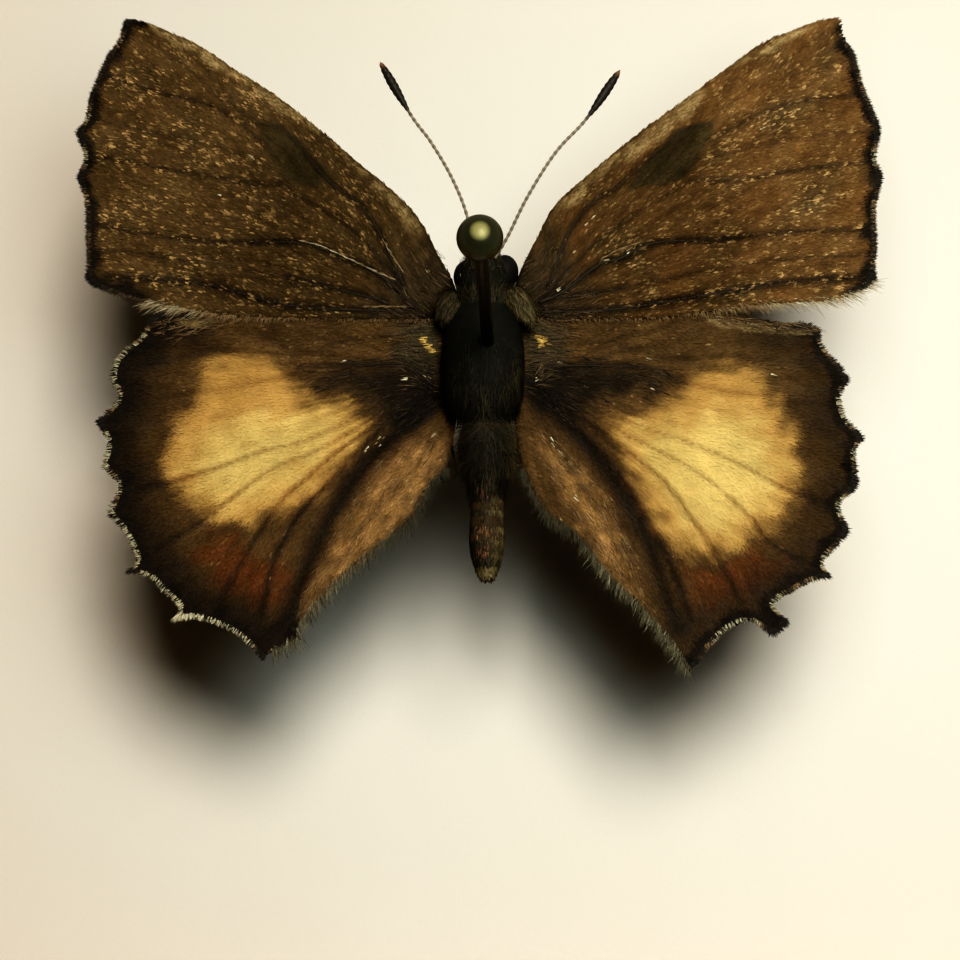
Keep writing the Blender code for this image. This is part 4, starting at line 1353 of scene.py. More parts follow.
def membrane(name, wing, settings, seed):
    """The wing's own thin sheet: an upper and a lower face joined at the edge."""
    rim, _ = wing_rim(wing, 0.12, 0.14)
    mesh_size = settings.mesh_size / MM
    low, high = rim.min(0), rim.max(0)
    rows = np.arange(low[1], high[1], mesh_size * math.sqrt(3) / 2)
    inner = np.array([
        (x + (row % 2) * mesh_size / 2, y)
        for row, y in enumerate(rows) for x in np.arange(low[0], high[0], mesh_size)
    ])
    loop = np.concatenate((rim, rim[:1]))
    inner = inner[inside(inner, loop)]
    inner = inner[nearest(inner, loop)[0] > 0.5 * mesh_size]
    plan = [Vector(point) for point in np.concatenate((rim, inner))]
    found = delaunay_2d_cdt(plan, [], [list(range(len(rim)))], 1, 1e-6)
    points = np.array([tuple(point) for point in found[0]])
    faces = []
    for a, b, c in found[2]:
        (ax, ay), (bx, by), (cx, cy) = points[[a, b, c]]
        turn = (bx - ax) * (cy - ay) - (by - ay) * (cx - ax)
        faces.append((a, b, c) if turn > 0 else (a, c, b))
    sides = dict.fromkeys(pair for a, b, c in faces for pair in ((a, b), (b, c), (c, a)))
    edge = [pair for pair in sides if pair[::-1] not in sides]

    top = wing_face(wing, points)
    bottom = top - np.array((0, 0, settings.thickness / MM))
    count = len(points)
    shell = faces + [(a + count, c + count, b + count) for a, b, c in faces]
    shell += [(b, a, a + count, b + count) for a, b in edge]
    values = {"grain": np.column_stack((wing_grain(wing, points), np.zeros(count)))}
    values.update(wing_values(wing, points, seed))
    doubled = {label: np.concatenate((value, value)) for label, value in values.items()}
    doubled["cover"] = np.repeat((1.0, 0.0), count)
    form = Form()
    form.add(np.concatenate((top, bottom)), shell, **doubled)
    return form.mesh(name)


def make_veins(name, wing, material, slot):
    """The wing's veins as fine tubes lying in its upper face."""
    form = Form()
    for vein, path in vein_paths(wing).items():
        thick = VEIN_LOOKS[vein][0]
        if not thick or (vein != "radius" and not is_fore(wing)):
            continue
        plan = evenly(path, 0.15)
        if not is_fore(wing):
            plan = plan[:len(plan) * 2 // 5]
        radius = np.linspace(thick, 0.35 * thick, len(plan))
        add_loft(form, wing_face(wing, plan, 0.3 * radius), radius, sides=8)
    return show(name + "_veins", form.mesh(name + "_veins"), material, slot)


def flat_lie(plan, rise=0.1):
    """Directions in the plan, lifted a little."""
    return np.column_stack((plan, np.full(len(plan), rise)))


def fringe_roots(wing, draw):
    """Roots of the outer fringe, dark on its teeth and pale between, and of the inner edge."""
    rim, outwards = wing_rim(wing, 0.0, RIM_STEP)
    padded = np.concatenate((rim[-CALM_WINDOW:], rim, rim[:CALM_WINDOW]))
    weights = np.hanning(CALM_WINDOW) / np.hanning(CALM_WINDOW).sum()
    calm = np.column_stack([np.convolve(part, weights, "same") for part in padded.T])
    calm = calm[CALM_WINDOW:-CALM_WINDOW]
    tooth = ((rim - calm) * outwards).sum(1)
    aside = beside(calm)
    aside *= np.sign((aside * outwards).sum(1))[:, None]

    def along_rim(knots, count):
        ends = [nearest(np.array([wing["outline"][knot]]), rim)[1][0] for knot in knots]
        return (np.sort(draw.uniform(*ends, count)) * (len(rim) - 1)).astype(int)

    outer = []
    for count, inset, long, pale_share in FRINGE_ROWS:
        picks = along_rim(wing["margin"], count)
        roots = rim[picks] - inset * outwards[picks]
        lean = 0.75 * aside[picks] + 0.35 * wing_grain(wing, roots)
        pale = pale_share * fade(0.03, -0.05, tooth[picks]) * 0.9
        for arc in wing.get("pale_fringe", []):
            near = nearest(rim[picks], np.array(arc))[0]
            pale = np.maximum(pale, pale_share * fade(0.5, 0.3, near))
        if "rusty_fringe" in wing:
            near = nearest(rim[picks], np.array(wing["rusty_fringe"]))[0]
            pale = np.where(near < 0.35, 1.6, pale)
        size = long * draw.uniform(0.6, 1.2, count) * (0.85 + 0.2 * fade(-0.02, 0.1, tooth[picks]))
        from_end = RIM_STEP * np.minimum(picks - picks[0], picks[-1] - picks)
        size = size * (0.3 + 0.7 * fade(0.0, 0.9, from_end))
        outer.append((
            wing_face(wing, roots, draw.uniform(-0.03, 0.03, count)),
            flat_lie(unit(lean + draw.normal(0, 0.09, lean.shape)), 0.0), UP,
            size, draw.uniform(0.03, 0.055, count), pale * draw.uniform(0.75, 1.0, count),
        ))

    fore = is_fore(wing)
    count = INNER_HAIRS["fore" if fore else "hind"]
    picks = along_rim(wing["inner"], count)
    roots = rim[picks] - draw.uniform(0.05, 0.35, count)[:, None] * outwards[picks]
    long = draw.uniform(0.3, 0.7, count)
    if fore:
        from_body = np.abs(roots[:, 0])
        far = fade(9.5, 13.0, from_body)
        long = long * (0.26 + 0.39 * fade(7.0, 9.5, from_body) + 0.5 * far)
        tone = draw.uniform(0.2, 0.55, count) + draw.uniform(0.0, 0.6, count) * far
        along_grain = 0.3 + 0.9 * far
    else:
        far = fade(-6.5, -10.0, roots[:, 1])
        tone = draw.uniform(0.05, 0.4, count) + draw.uniform(0.0, 0.4, count) * far
        along_grain = np.full(count, 0.7)
    lean = 0.8 * aside[picks] + along_grain[:, None] * wing_grain(wing, roots)
    lie = flat_lie(unit(lean + draw.normal(0, 0.25, lean.shape)), -0.05 if fore else 0.0)
    inner = (wing_face(wing, roots), lie, UP, long, draw.uniform(0.016, 0.03, count), tone)
    return outer, [inner]


def points_in(corners, count, draw):
    """Random points inside a patch."""
    loop = smooth(corners, 4, closed=True)
    low, high = loop.min(0), loop.max(0)
    found = np.empty((0, 2))
    while len(found) < count:
        tries = draw.uniform(low, high, (count, 2))
        found = np.concatenate((found, tries[inside(tries, loop)]))
    return found[:count]


def wing_hair_roots(wing, draw):
    """Roots of a wing's long hairs, its painted vein highlights and its painted glints, all as pale scales.
    """
    side = -1 if wing["node"].endswith("left") else 1
    if is_fore(wing):
        patches = [([(side * x, y) for x, y in FORE_BASE], FORE_HAIRS)]
    else:
        patches = [(wing["patches"][name], looks) for name, looks in HIND_HAIRS.items()]
        patches.append((wing["tuft"], TUFT_HAIRS))
    groups = []
    for corners, (count, long, tone) in patches:
        roots = points_in(corners, count, draw)
        lean = unit(wing_grain(wing, roots) + draw.normal(0, 0.15, roots.shape))
        groups.append((
            wing_face(wing, roots, 0.03), flat_lie(lean, 0.12), UP,
            long * draw.uniform(0.6, 1.3, count), draw.uniform(0.016, 0.032, count),
            np.clip(draw.normal(tone, 0.12, count), 0, 0.9),
        ))
    # Painted highlights along the raised veins, laid as lines of pale scales.
    for path, tone in wing.get("vein_highlights", []):
        line = evenly(smooth(path, 5), 0.035)
        count = len(line)
        groups.append((
            wing_face(wing, line + draw.normal(0, 0.015, line.shape), 0.07),
            flat_lie(unit(np.gradient(line, axis=0)), 0.02), UP, draw.uniform(0.14, 0.24, count),
            draw.uniform(0.016, 0.034, count), tone * draw.uniform(0.5, 1.1, count),
        ))
    # Pale scales round the glint spots: painted glints.
    return [*groups, bright_scales(wing, wing["glints"] * 2, 0.05, draw)]


def bright_scales(wing, spots, spread, draw):
    """Roots of loose pale scales round some spots of a wing: painted glints."""
    spots = np.array(spots, float)
    spots = spots + draw.normal(0, spread, spots.shape)
    count = len(spots)
    return (
        wing_face(wing, spots, 0.06), flat_lie(wing_grain(wing, spots)), UP,
        draw.uniform(0.12, 0.24, count), draw.uniform(0.05, 0.08, count),
        draw.uniform(0.5, 1.0, count),
    )


# --- Body ---
# How many hairs or scales each coat of the body has.
COAT_HAIRS = {
    "thorax": 9000, "waist": 2600, "head": 1500, "collar": 1800, "crescent": 90, "shoulder": 1300,
    "abdomen": 9500,
}
CRESCENT_PLACE, CRESCENT_SPREAD = (-0.86, 2.55, 27.72), (0.05, 0.16, 0.04)
RUSTY_SPOTS = [(0.47, 1.6), (0.72, 1.9), (0.84, 1.75)]  # share along the abdomen, angle round it


def body_line(name, along):
    """Points on the body piece's axis, and its radius there."""
    piece = BODY[name]
    profile = smooth(piece["profile"], 6)
    heading = np.array((0.0, -math.cos(piece["droop"]), -math.sin(piece["droop"])))
    centres = np.array(piece["front"]) + np.asarray(along)[:, None] * heading
    return centres, np.interp(along, profile[:, 0], profile[:, 1])


def to_segment(along):
    """Distance from places along the abdomen to its nearest ring edge."""
    return np.min(np.abs(along[:, None] - np.array(SEGMENTS)), axis=1)


def coat_roots(name, coat, draw, span, arc=(-0.1, 0.6)):
    """Random roots on a body piece: places, outward directions, shares along and round."""
    count = COAT_HAIRS[coat]
    share = draw.uniform(*span, count)
    around = draw.uniform(*arc, count) * TURN
    centres, radius = body_line(name, share * BODY[name]["profile"][-1][0])
    outwards = np.column_stack((np.cos(around), np.zeros(count), np.sin(around)))
    depth = BODY[name]["depth"]
    spread = outwards * np.column_stack((radius, radius, radius * depth))
    return centres + 0.97 * spread, unit(outwards * (1, 1, 1 / depth)), share, around


def make_body(skin, eye_skin):
    """Head, thorax and abdomen under their coats, the eyes and the shoulder pads."""
    for name, piece in BODY.items():
        along = np.linspace(0, piece["profile"][-1][0], 70)
        centres, radius = body_line(name, along)
        slot = "body"
        if name == "abdomen":
            radius = radius * (1 - 0.1 * bell(to_segment(along), 0.07))
            slot = "abdomen"
        show_tube(name + "_skin", skin[slot], slot, name, centres, radius,
                  radius * piece["depth"], sides=48)
    eyes = Form()
    for middle, radii in EYES:
        ball(eyes, middle, radii)
    show("eyes", eyes.mesh("eyes"), eye_skin, "body")
    for side, (middle, radii, turn) in TEGULAE.items():
        pad = Form()
        ball(pad, middle, radii, turn)
        show(side + "_tegula", pad.mesh(side + "_tegula"), skin["body"], "body")


def combed(draw, direction, outwards, spread):
    """Directions of hairs: combed one way, standing out of the skin, and a little untidy."""
    return unit(direction + outwards + draw.normal(0, spread, outwards.shape))


def make_coats(material):
    """Fur of the head and thorax, shoulder hairs, and scales of the abdomen."""
    draw = np.random.default_rng(41)

    # The thorax, with long hairs over the front of the abdomen.
    places, outwards = coat_roots("thorax", "thorax", draw, (0.02, 1.0), (-0.12, 0.62))[:2]
    count = len(places)
    lie = combed(draw, BACK, 0.45 * outwards, 0.22)
    patchy = ripple(places[:, :2], 0.9, 5)
    tone = np.clip(0.02 + 0.05 * patchy + draw.normal(0, 0.03, count), 0, 1)
    band = bell(places[:, 0] - 1.3, 0.22) * fade(-3.2, -2.2, places[:, 1])
    tone = tone + 0.22 * band * draw.uniform(0, 1, count)
    thorax = [(places, lie, outwards, draw.uniform(0.3, 0.7, count), 0.024, tone)]
    places, outwards = coat_roots("abdomen", "waist", draw, (0.0, 0.32))[:2]
    count = len(places)
    lie = combed(draw, (0.0, -0.8, 0.0), outwards * (1.1, 0, 0.1), 0.45)
    tone = 0.3 * fade(0.4, 0.95, outwards[:, 0]) + 0.12 * fade(-0.4, -0.95, outwards[:, 0])
    thorax.append((places, lie, outwards, draw.uniform(0.5, 1.2, count), 0.022,
                   np.clip(tone + draw.normal(0.02, 0.03, count), 0, 0.8)))
    plant("thorax_fur", thorax, material, "body", seed=11)

    # The head, the collar behind it and a pale crescent on the head's left side.
    places, outwards = coat_roots("head", "head", draw, (0.05, 1.0))[:2]
    lie = combed(draw, (0.0, 0.4, 0.2), 0.5 * outwards, 0.25)
    head = [(places, lie, outwards, draw.uniform(0.2, 0.4, len(places)), 0.03,
             np.clip(draw.normal(0.08, 0.08, len(places)), 0, 1))]
    collar, outwards = coat_roots("thorax", "collar", draw, (0.0, 0.16))[:2]
    lie = combed(draw, (0.0, 0.7, 0.0), outwards, 0.25)
    tone = 0.06 + 0.28 * fade(0.5, 1.1, collar[:, 0])
    head.append((collar, lie, outwards, draw.uniform(0.4, 0.8, len(collar)), 0.035,
                 np.clip(tone + draw.normal(0, 0.07, len(collar)), 0, 1)))
    count = COAT_HAIRS["crescent"]
    crescent = CRESCENT_PLACE + draw.normal(0, 1, (count, 3)) * CRESCENT_SPREAD
    head.append((crescent, (0.2, -1.0, 0.1), (-0.4, 0.0, 0.9), draw.uniform(0.1, 0.22, count),
                 0.04, draw.uniform(0.55, 0.95, count)))
    plant("head_fur", head, material, "body", seed=12)

    # The shoulder pads.
    shoulder = []
    count = COAT_HAIRS["shoulder"]
    for side, (middle, radii, turn) in TEGULAE.items():
        around = draw.uniform(0, TURN, count)
        high = draw.uniform(-0.1, 1.0, count)
        ring = np.sqrt(1 - high ** 2)
        sphere = np.column_stack((ring * np.cos(around), ring * np.sin(around), high))
        places = (sphere * radii) @ about_z(turn) + middle
        outwards = unit((sphere / radii) @ about_z(turn))
        sideways, mean_tone = (0.45, 0.26) if side == "right" else (-0.45, 0.13)
        lie = combed(draw, (sideways, -1.0, 0.0), 0.3 * outwards, 0.2)
        tone = np.clip(draw.normal(mean_tone, 0.1, count), 0.02, 0.9)
        shoulder.append((places, lie, outwards, draw.uniform(0.22, 0.5, count), 0.045, tone))
    plant("shoulder_hairs", shoulder, material, "body", seed=13)

    # The abdomen: long hairs in front, and flat scales behind, paler at each ring; behind, the scales
    # are painted paler on the right side, the side the light comes from: painted light.
    places, outwards, share, around = coat_roots(
        "abdomen", "abdomen", draw, (0.0, 0.985), (-0.3, 0.8)
    )
    count = len(places)
    along = share * BODY["abdomen"]["profile"][-1][0]
    # Paler on the right side: painted light.
    right = fade(-0.2, 0.9, np.cos(around))
    hind = fade(0.42, 0.6, share)
    patchy = 0.5 + 0.5 * ripple(np.column_stack((around, along)), 0.7, 9)
    band = bell(to_segment(along + 0.08), 0.08)
    tone = 0.03 + hind * (0.4 * right * patchy + 0.16 * band * (0.3 + right))
    tone = np.clip(tone + draw.normal(0, 0.05, count), 0, 1)
    rusty = np.maximum.reduce([
        np.exp(-((share - place) / 0.035) ** 2 - ((around - turn) / 0.5) ** 2)
        for place, turn in RUSTY_SPOTS
    ])
    tone = np.where(draw.uniform(0, 1, count) < 0.6 * rusty, 1.7, tone)
    tone = np.where(share > 0.92, draw.uniform(0.3, 0.55, count), tone)
    lie = combed(draw, BACK, 0.12 * outwards, 0.12)
    front = share < 0.45
    long = np.where(front, draw.uniform(0.4, 0.8, count), draw.uniform(0.13, 0.24, count))
    broad = np.where(front, 0.03, 0.055)
    plant("abdomen_scales", [(places, lie, outwards, long, broad, tone)], material, "abdomen",
          seed=14, Tip=0.4)


# --- Antennae, legs, palps and pin ---
RING_PITCH = 0.27  # between the rings of an antenna
CLUB_LENGTH = 2.35
LEG_RADII = [(0.17, 0.12), (0.12, 0.085), (0.075, 0.045)]  # femur, tibia, tarsus
LEG_BOW = 0.12  # how far the middle of a leg's joint stands up
LEG_UPRIGHT = (0.3, 0.1, 1.0)
BRISTLES = 60  # on each joint of a leg
PALP_HAIRS = 260


def antenna_paint(settings, length):
    """Pale rings on the shaft and an orange tip on the club."""
    def paint(base):
        along = attribute(base.tree, "along")["Fac"]
        wave = maths("FRACT", along / RING_PITCH)
        shaft = along.ramp(length - 2.7, length - 2.2, 1.0, 0.0)
        pale = wave.ramp(0.45, 0.7, 0.3, 0.7) * shaft
        colour = blend(shaft, settings.fringe_dark, base)
        colour = blend(pale, colour, settings.ring)
        return blend(along.ramp(length - 0.35, length - 0.1), colour, settings.club_tip)
    return paint


def make_antennae(settings):
    """Two ringed antennae, each with a spindle-shaped club."""
    for side, knots in ANTENNAE.items():
        path = evenly(smooth(knots, 12), 0.045)
        along = lengths_along(path)
        total = along[-1]
        radius = 0.062 + 0.010 * np.sin(TURN * along / RING_PITCH)
        into = np.clip((along - (total - CLUB_LENGTH)) / CLUB_LENGTH, 0, 1)
        radius = radius + 0.125 * np.sin(math.pi * into ** 1.15) ** 0.8
        radius[-4:] *= (0.9, 0.75, 0.5, 0.25)
        name = f"{side}_antenna"
        paint = antenna_paint(settings, total)
        skin = chitin_material(name + "_skin", settings.leg, 0.5, 0.3, paint)
        show_tube(name, skin, "limb", "antenna_" + side, path, radius, sides=14)


def make_leg(name, knots, skin, hairs, draw, replaced):
    """A jointed leg with its claws and bristles."""
    form = Form()
    bristles = []
    for start, end, (thick, thin) in zip(knots[:-1], knots[1:], LEG_RADII):
        share = np.linspace(0, 1, 26)
        line = start + share[:, None] * (end - start)
        line[:, 2] += LEG_BOW * np.sin(math.pi * share)
        radius = thick + (thin - thick) * share
        if thick > 0.1:
            radius *= 1 + 0.25 * np.sin(math.pi * share)
        else:
            radius *= 1 - 0.22 * (np.abs(np.sin(5 * math.pi * share)) < 0.25)
        radius[[0, -1]] *= 0.5
        add_loft(form, line, radius, upright=LEG_UPRIGHT)
        where = draw.uniform(0.05, 0.98, BRISTLES)
        spin = unit(draw.normal(0, 1, (BRISTLES, 3)))
        ahead = unit(end - start)
        outwards = unit(spin - (spin @ ahead)[:, None] * ahead)
        root = start + where[:, None] * (end - start) + outwards * thin * 0.9
        root[:, 2] += LEG_BOW * np.sin(math.pi * where)
        bristles.append((root, unit(ahead + 0.5 * outwards), outwards,
                         draw.uniform(0.12, 0.26, BRISTLES), 0.025,
                         draw.uniform(0.05, 0.6, BRISTLES)))
    end = knots[-1]
    hook = unit(end - knots[-2])
    for claw in (-1, 1):
        aside = np.array((0.05 * claw, 0, 0))
        tip = end + 0.13 * hook + 1.4 * aside + (0, 0, -0.06)
        line = smooth([end - 0.03 * hook, end + 0.08 * hook + aside, tip], 4)
        add_loft(form, line, np.linspace(0.022, 0.006, len(line)), sides=6, upright=LEG_UPRIGHT)
    show(name, form.mesh(name), skin, "limb", replaced)
    plant(name + "_bristles", bristles, hairs, "limb", 20 + len(name))


def make_legs(settings, hairs):
    """Six folded, jointed legs and two scaled palps."""
    skin = chitin_material("leg_skin", settings.leg, 0.5, 0.2)
    draw = np.random.default_rng(61)
    for sign, side in ((-1, "left"), (1, "right")):
        for pair, joints in LEGS.items():
            knots = np.array(joints) * (sign, 1, 1) + THORAX_MIDDLE
            make_leg(f"{side}_{pair}_leg", knots, skin, hairs, draw, f"{pair}_leg_{side}")
        path = evenly(smooth(np.array(PALP) * (sign, 1, 1), 8), 0.04)
        share = np.linspace(0, 1, len(path))
        radius = 0.10 + 0.035 * np.sin(math.pi * share) - 0.06 * share
        radius[-2:] *= (0.7, 0.4)
        show_tube(side + "_palp", skin, "limb", "palp_" + side, path, radius, sides=14)
        pick = draw.integers(1, len(path) - 1, PALP_HAIRS)
        angle = draw.uniform(0, TURN, PALP_HAIRS)
        outwards = np.column_stack((np.cos(angle), np.zeros(PALP_HAIRS), np.sin(angle)))
        root = path[pick] + outwards * radius[pick][:, None] * 0.95
        plant(f"{side}_palp_hairs", [(
            root, unit(np.array((0, 1.0, 0.2)) + 0.4 * outwards), outwards,
            draw.uniform(0.1, 0.22, PALP_HAIRS), 0.03, draw.uniform(0.0, 0.8, PALP_HAIRS),
        )], hairs, "limb", 30 + sign)


def make_pin(settings):
    """The steel pin with its ground point, and the moulded head with a painted highlight on its top."""
    up = Vector(UP)
    up.rotate(Euler((-PIN_LEAN_BACK, -PIN_LEAN_LEFT, 0)))
    axis = np.array(up)
    entry = np.array(PIN_ENTRY)
    middle = np.linspace(PIN_POINT - PIN_BELOW + 0.4, PIN_ABOVE, 40)
    heights = np.concatenate((np.array((0, 0.05, 0.5, PIN_POINT)) - PIN_BELOW, middle))
    radii = np.concatenate(((0.01, 0.025, 0.13), np.full(len(middle) + 1, PIN_RADIUS)))
    steel = mottled_material(
        "dark_pin_steel", settings.pin_steel, 0.5, cloud=1.5, grain=0.06, age=0.8,
        depth=0.004 * MM, dull=(0.28, 0.5), metallic=1.0,
    )
    show_tube("steel_pin", steel, "pin_steel", "pin_shaft", entry + heights[:, None] * axis,
              radii, sides=32, upright=(0, 1, 0))

    tilt = np.linspace(0, math.pi, 49)
    path = entry + (PIN_ABOVE - PIN_HEAD_RADIUS * np.cos(tilt))[:, None] * axis
    shape = path, PIN_HEAD_RADIUS * np.maximum(np.sin(tilt), 0.003), None, 64, (0, 1, 0)
    high = loft(*shape)[0][:, 2].max()

    # The top of the head is painted pale: a painted highlight.
    def faded(colour):
        level = in_millimetres(colour.tree).split()[2]
        crown = level.ramp(high - 0.12 * PIN_HEAD_RADIUS, high - 0.03 * PIN_HEAD_RADIUS)
        return blend(crown, colour, settings.pin_crown)

    plastic = mottled_material(
        "olive_pin_plastic", settings.pin_head, 0.7, cloud=0.8, grain=0.05, age=0.6,
        depth=0.003 * MM, dull=(0.34, 0.42), painted=faded, specular_ior_level=0.6,
        specular_tint=(1.0, 0.93, 0.5, 1),
    )
    show_tube("moulded_pin_head", plastic, "pin_plastic", "pin_head", *shape)


# --- Drawer ---
def make_walls(settings):
    """Four finger-jointed oak walls and the plywood board, with worn edges."""
    along = oak_material("oak_along_x", settings, 0.0)
    across = oak_material("oak_along_y", settings, math.pi / 2)
    for place, wood in (("front", along), ("back", along), ("left", across), ("right", across)):
        side = "side_" if wood is across else ""
        softened(f"drawer_{side}{place}", place + "_wall", settings.rounding, wood, "oak")
    softened("bottom_board", "base_board", settings.rounding, plywood_material(settings), "plywood")


def make_lining(settings):
    """The foam block and the cream paper that covers it."""
    foam = mottled_material(
        "pinning_foam_white", settings.foam, 0.8, cloud=4.0, grain=0.5, age=0.5, depth=0.1 * MM,
        roughness=0.9,
    )
    paper = mottled_material(
        "cream_paper", settings.paper, settings.paper_stain, cloud=14.0, grain=0.12, age=0.22,
        depth=0.012 * MM, roughness=0.85, specular_ior_level=0.2,
    )
    for name, material in (("pinning_foam", foam), ("paper_lining", paper)):
        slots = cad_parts[name].data.materials
        slots.clear()
        slots.append(material)


def make_knob(settings):
    """A turned brass knob, dull and tarnished in cloudy patches."""
    radius, reach = smooth(KNOB_PROFILE, 5).T
    low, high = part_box("front_knob")
    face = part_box("drawer_front")[0].y / MM - CENTRE_Y / MM
    height = (low.z + high.z) / 2 / MM
    path = [(0.0, face - distance, height) for distance in reach]
    brass = mottled_material(
        "worn_brass", settings.brass, settings.tarnish, cloud=2.2, grain=0.15, age=0.55,
        depth=0.01 * MM, dull=(0.24, 0.5), metallic=1.0,
    )
    show_tube("brass_knob", brass, "brass", "front_knob", path, np.maximum(radius, 0.004), sides=72)


# --- Stage: places in metres ---
FLOOR_REACH = 2500.0  # millimetres to each side
FLOOR_CELLS = 8
CAMERA_PLACE = (-0.0002, -0.03082, 0.13325)
CAMERA_TARGET = (-0.0002, -0.00235, 0.0270)
KEY_TOWARDS = (0.130, 0.229, 1.0)  # from the specimen to the light
LAMP_RADIUS = 0.022
LAMP_ANGLE = math.radians(120)
LAMP_PLACE = (0.0163, 0.0044, 0.099)
LAMP_TARGET = (0.034, 0.008, 0.015)
ROOM_BLEND = (0.10, 0.30)  # height in the room where its wall turns into its ceiling
TOE_POINTS = (0.02, 0.045, 0.08, 0.13, 0.2, 0.32, 0.5, 0.75)


def placed(label, data, place, towards):
    """A light or camera in the scene, with its -Z axis along a direction."""
    obj = bpy.data.objects.new(label, data)
    bpy.context.scene.collection.objects.link(obj)
    obj.location = place
    obj.rotation_euler = Vector(towards).to_track_quat("-Z", "Y").to_euler()
    return obj


def make_stage(settings):
    """A pale floor, a soft key light with a lamp beside it, a dim room and the camera."""
    scene = bpy.context.scene
    form = Form()
    row = FLOOR_CELLS + 1
    steps = np.linspace(-FLOOR_REACH, FLOOR_REACH, row)
    corners = [r * row + c for r in range(FLOOR_CELLS) for c in range(FLOOR_CELLS)]
    form.add([(x, y, 0.0) for y in steps for x in steps],
             [(a, a + 1, a + row + 1, a + row) for a in corners])
    mesh = form.mesh("floor")
    floor = bpy.data.objects.new("floor", mesh)
    scene.collection.objects.link(floor)
    mesh.materials.append(mottled_material(
        "floor_paint", settings.floor, 0.96, cloud=400.0, grain=3.0, age=0.5, depth=0.05 * MM,
        roughness=0.8, specular_ior_level=0.1,
    ))

    key = bpy.data.lights.new("key_light", "SUN")
    key.energy = settings.key_strength
    key.angle = settings.softness
    key.color = settings.key_colour
    placed("key_light", key, (0, 0, 0), -Vector(KEY_TOWARDS))

    lamp = bpy.data.lights.new("side_lamp", "SPOT")
    lamp.energy = settings.side_power
    lamp.shadow_soft_size = LAMP_RADIUS
    lamp.spot_size = LAMP_ANGLE
    lamp.spot_blend = 1.0
    lamp.color = settings.lamp_colour
    towards = Vector(LAMP_TARGET) - Vector(LAMP_PLACE)
    placed("side_lamp", lamp, LAMP_PLACE, towards).visible_camera = False

    world = bpy.data.worlds.new("room")
    scene.world = world
    world.use_nodes = True
    height = out(world.node_tree, "ShaderNodeTexCoord", "Generated").split()[2]
    room = blend(height.ramp(*ROOM_BLEND), settings.room_low, settings.room_high)
    room.into(world.node_tree.nodes["Background"].inputs["Color"])

    view = bpy.data.cameras.new("camera")
    view.lens = settings.lens
    view.clip_start = 0.005
    view.clip_end = 20.0
    towards = Vector(CAMERA_TARGET) - Vector(CAMERA_PLACE)
    scene.camera = placed("camera", view, CAMERA_PLACE, towards)

    scene.view_settings.view_transform = "Standard"
    scene.view_settings.use_curve_mapping = True
    curves = scene.view_settings.curve_mapping
    for value in TOE_POINTS:
        pressed = value * value * (1 + settings.toe) / (value + settings.toe)
        curves.curves[3].points.new(value, pressed)
    curves.extend = "EXTRAPOLATED"
    curves.update()


# --- Operators ---
class SPECIMEN_OT_walls(bpy.types.Operator):
    """Finish the drawer's walls and bottom board"""
    bl_idname = "specimen.walls"
    bl_label = "Walls and board"

    def execute(self, context):
        make_walls(context.scene.specimen_drawer)
        return {"FINISHED"}


class SPECIMEN_OT_lining(bpy.types.Operator):
    """Finish the pinning foam and its paper lining"""
    bl_idname = "specimen.lining"
    bl_label = "Foam and lining"

    def execute(self, context):
        make_lining(context.scene.specimen_drawer)
        return {"FINISHED"}


class SPECIMEN_OT_knob(bpy.types.Operator):
    """Make the turned knob"""
    bl_idname = "specimen.knob"
    bl_label = "Knob"

    def execute(self, context):
        make_knob(context.scene.specimen_drawer)
        return {"FINISHED"}


class SPECIMEN_OT_wings(bpy.types.Operator):
    """Make the four wings with their veins, scales, hairs and fringes"""
    bl_idname = "specimen.wings"
    bl_label = "Wings"

    def execute(self, context):
        wings, coat = context.scene.specimen_wings, context.scene.specimen_coat
        hindwing = wing_material("hindwing_scales", wings.hindwing, wings.hindwing_2, wings)
        # Each forewing gets its own ground: lit and shaded copies of one colour, painted light and shade.
        materials = {
            name: wing_material(name + "_scales", getattr(wings, name), wings.forewing_2, wings)
            for name in ("left_forewing", "right_forewing")
        }
        vein = chitin_material("vein_skin", VEIN_COLOUR, 0.5, 0.15)
        fringe = hair_material(
            "fringe_hairs", coat.fringe_dark, coat.fringe_middle, coat.fringe_pale, coat.rusty
        )
        edge = hair_material(
            "edge_hairs", coat.fur_dark, coat.edge_olive, coat.fringe_pale, coat.rusty
        )
        gold = hair_material(
            "painted_gold_glints", GOLD_DARK, GOLD_MIDDLE, coat.gold, coat.gold
        )
        for index, (name, wing) in enumerate(WINGS.items()):
            slot, edging = ("forewing", fringe) if is_fore(wing) else ("hindwing", edge)
            paint = materials.get(name, hindwing)
            seed = 100 * (index + 1)
            draw = np.random.default_rng(seed)
            sheet = membrane(name, wing, wings, seed)
            scales = grown(name + "_scales", sheet.copy(), SCALES, {
                "Spacing": wings.scale_spacing, "Density": SCALE_DENSITY, "Bend": SCALE_BEND,
                "Length": wings.scale_length, "Width": wings.scale_width,
                "Tilt": SCALE_TILT[slot], "Sway": SCALE_SWAY, "Seed": seed, "Material": paint,
            })
            show(name, sheet, paint, slot, wing["node"])
            show(name + "_scales", scales, None, slot)
            make_veins(name, wing, vein, slot)
            outer, inner = fringe_roots(wing, draw)
            plant(name + "_fringe", outer + wing_hair_roots(wing, draw), fringe, slot, seed + 7)
            plant(name + "_edge", inner, edging, slot, seed + 8)
            # Golden scales by the wing roots: painted golden glints.
            if "golden" in wing:
                spots = [bright_scales(wing, wing["golden"] * 14, 0.07, draw)]
                plant(name + "_gold", spots, gold, slot, seed + 9)
        return {"FINISHED"}


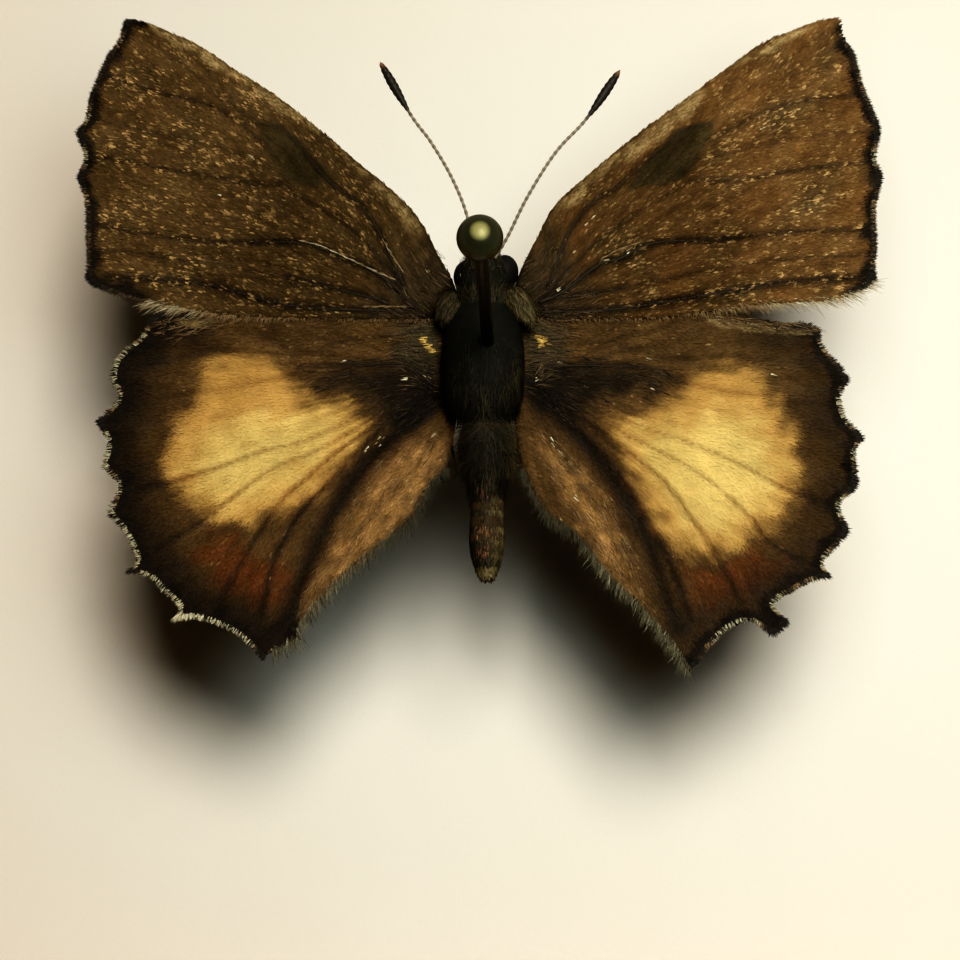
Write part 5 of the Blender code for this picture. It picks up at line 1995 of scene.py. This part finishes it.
class SPECIMEN_OT_body(bpy.types.Operator):
    """Make the head, thorax and abdomen with their coats"""
    bl_idname = "specimen.body"
    bl_label = "Body"

    def execute(self, context):
        coat = context.scene.specimen_coat
        skin = {
            "body": chitin_material("body_skin", coat.skin, 0.7, 0.08),
            "abdomen": chitin_material("abdomen_skin", coat.tail_skin, 0.7, 0.06),
        }
        make_body(skin, chitin_material("eye_skin", coat.eye, 0.6, 0.1))
        make_coats(hair_material(
            "body_hairs", coat.fur_dark, coat.fur_middle, coat.fur_pale, coat.rusty
        ))
        return {"FINISHED"}


class SPECIMEN_OT_limbs(bpy.types.Operator):
    """Make the antennae, legs and palps"""
    bl_idname = "specimen.limbs"
    bl_label = "Antennae, legs and palps"

    def execute(self, context):
        coat = context.scene.specimen_coat
        make_antennae(coat)
        hairs = hair_material("leg_hairs", coat.fur_dark, coat.leg, coat.fur_middle, coat.rusty)
        make_legs(coat, hairs)
        return {"FINISHED"}


class SPECIMEN_OT_pin(bpy.types.Operator):
    """Make the insect pin"""
    bl_idname = "specimen.pin"
    bl_label = "Pin"

    def execute(self, context):
        make_pin(context.scene.specimen_coat)
        return {"FINISHED"}


class SPECIMEN_OT_stage(bpy.types.Operator):
    """Set up the floor, the lights and the camera"""
    bl_idname = "specimen.stage"
    bl_label = "Stage"

    def execute(self, context):
        make_stage(context.scene.specimen_stage)
        return {"FINISHED"}


OPERATORS = [
    SPECIMEN_OT_walls, SPECIMEN_OT_lining, SPECIMEN_OT_knob, SPECIMEN_OT_wings,
    SPECIMEN_OT_body, SPECIMEN_OT_limbs, SPECIMEN_OT_pin, SPECIMEN_OT_stage,
]
SETTINGS = {
    "specimen_drawer": DrawerSettings,
    "specimen_wings": WingSettings,
    "specimen_coat": CoatSettings,
    "specimen_stage": StageSettings,
}


class SPECIMEN_PT_panel(bpy.types.Panel):
    """Lists the pieces of the specimen drawer"""
    bl_idname = "SPECIMEN_PT_panel"
    bl_label = "Pinned butterfly"
    bl_space_type = "VIEW_3D"
    bl_region_type = "UI"
    bl_category = "Specimen"

    def draw(self, context):
        for operator in OPERATORS:
            self.layout.operator(operator.bl_idname)


def register():
    """Register the settings, operators and panel."""
    for cls in (*SETTINGS.values(), *OPERATORS, SPECIMEN_PT_panel):
        bpy.utils.register_class(cls)
    for name, cls in SETTINGS.items():
        setattr(bpy.types.Scene, name, bpy.props.PointerProperty(type=cls))


def unregister():
    """Remove them again."""
    for name in SETTINGS:
        delattr(bpy.types.Scene, name)
    for cls in reversed((*SETTINGS.values(), *OPERATORS, SPECIMEN_PT_panel)):
        bpy.utils.unregister_class(cls)


BLADE = blade_group()
PLACE = place_group()
SCALES = scatter_tree()
HAIRS = hair_tree()
WOOD = wood_group()
MOTTLE = mottle_group()
WING_PATTERN = wing_group()
HAIR_COLOUR = hair_group()


def main():
    """Build every piece."""
    register()
    bpy.ops.specimen.walls()
    bpy.ops.specimen.lining()
    bpy.ops.specimen.knob()
    bpy.ops.specimen.wings()
    bpy.ops.specimen.body()
    bpy.ops.specimen.limbs()
    bpy.ops.specimen.pin()
    bpy.ops.specimen.stage()
    bpy.context.view_layer.update()


if __name__ == "__main__":
    main()
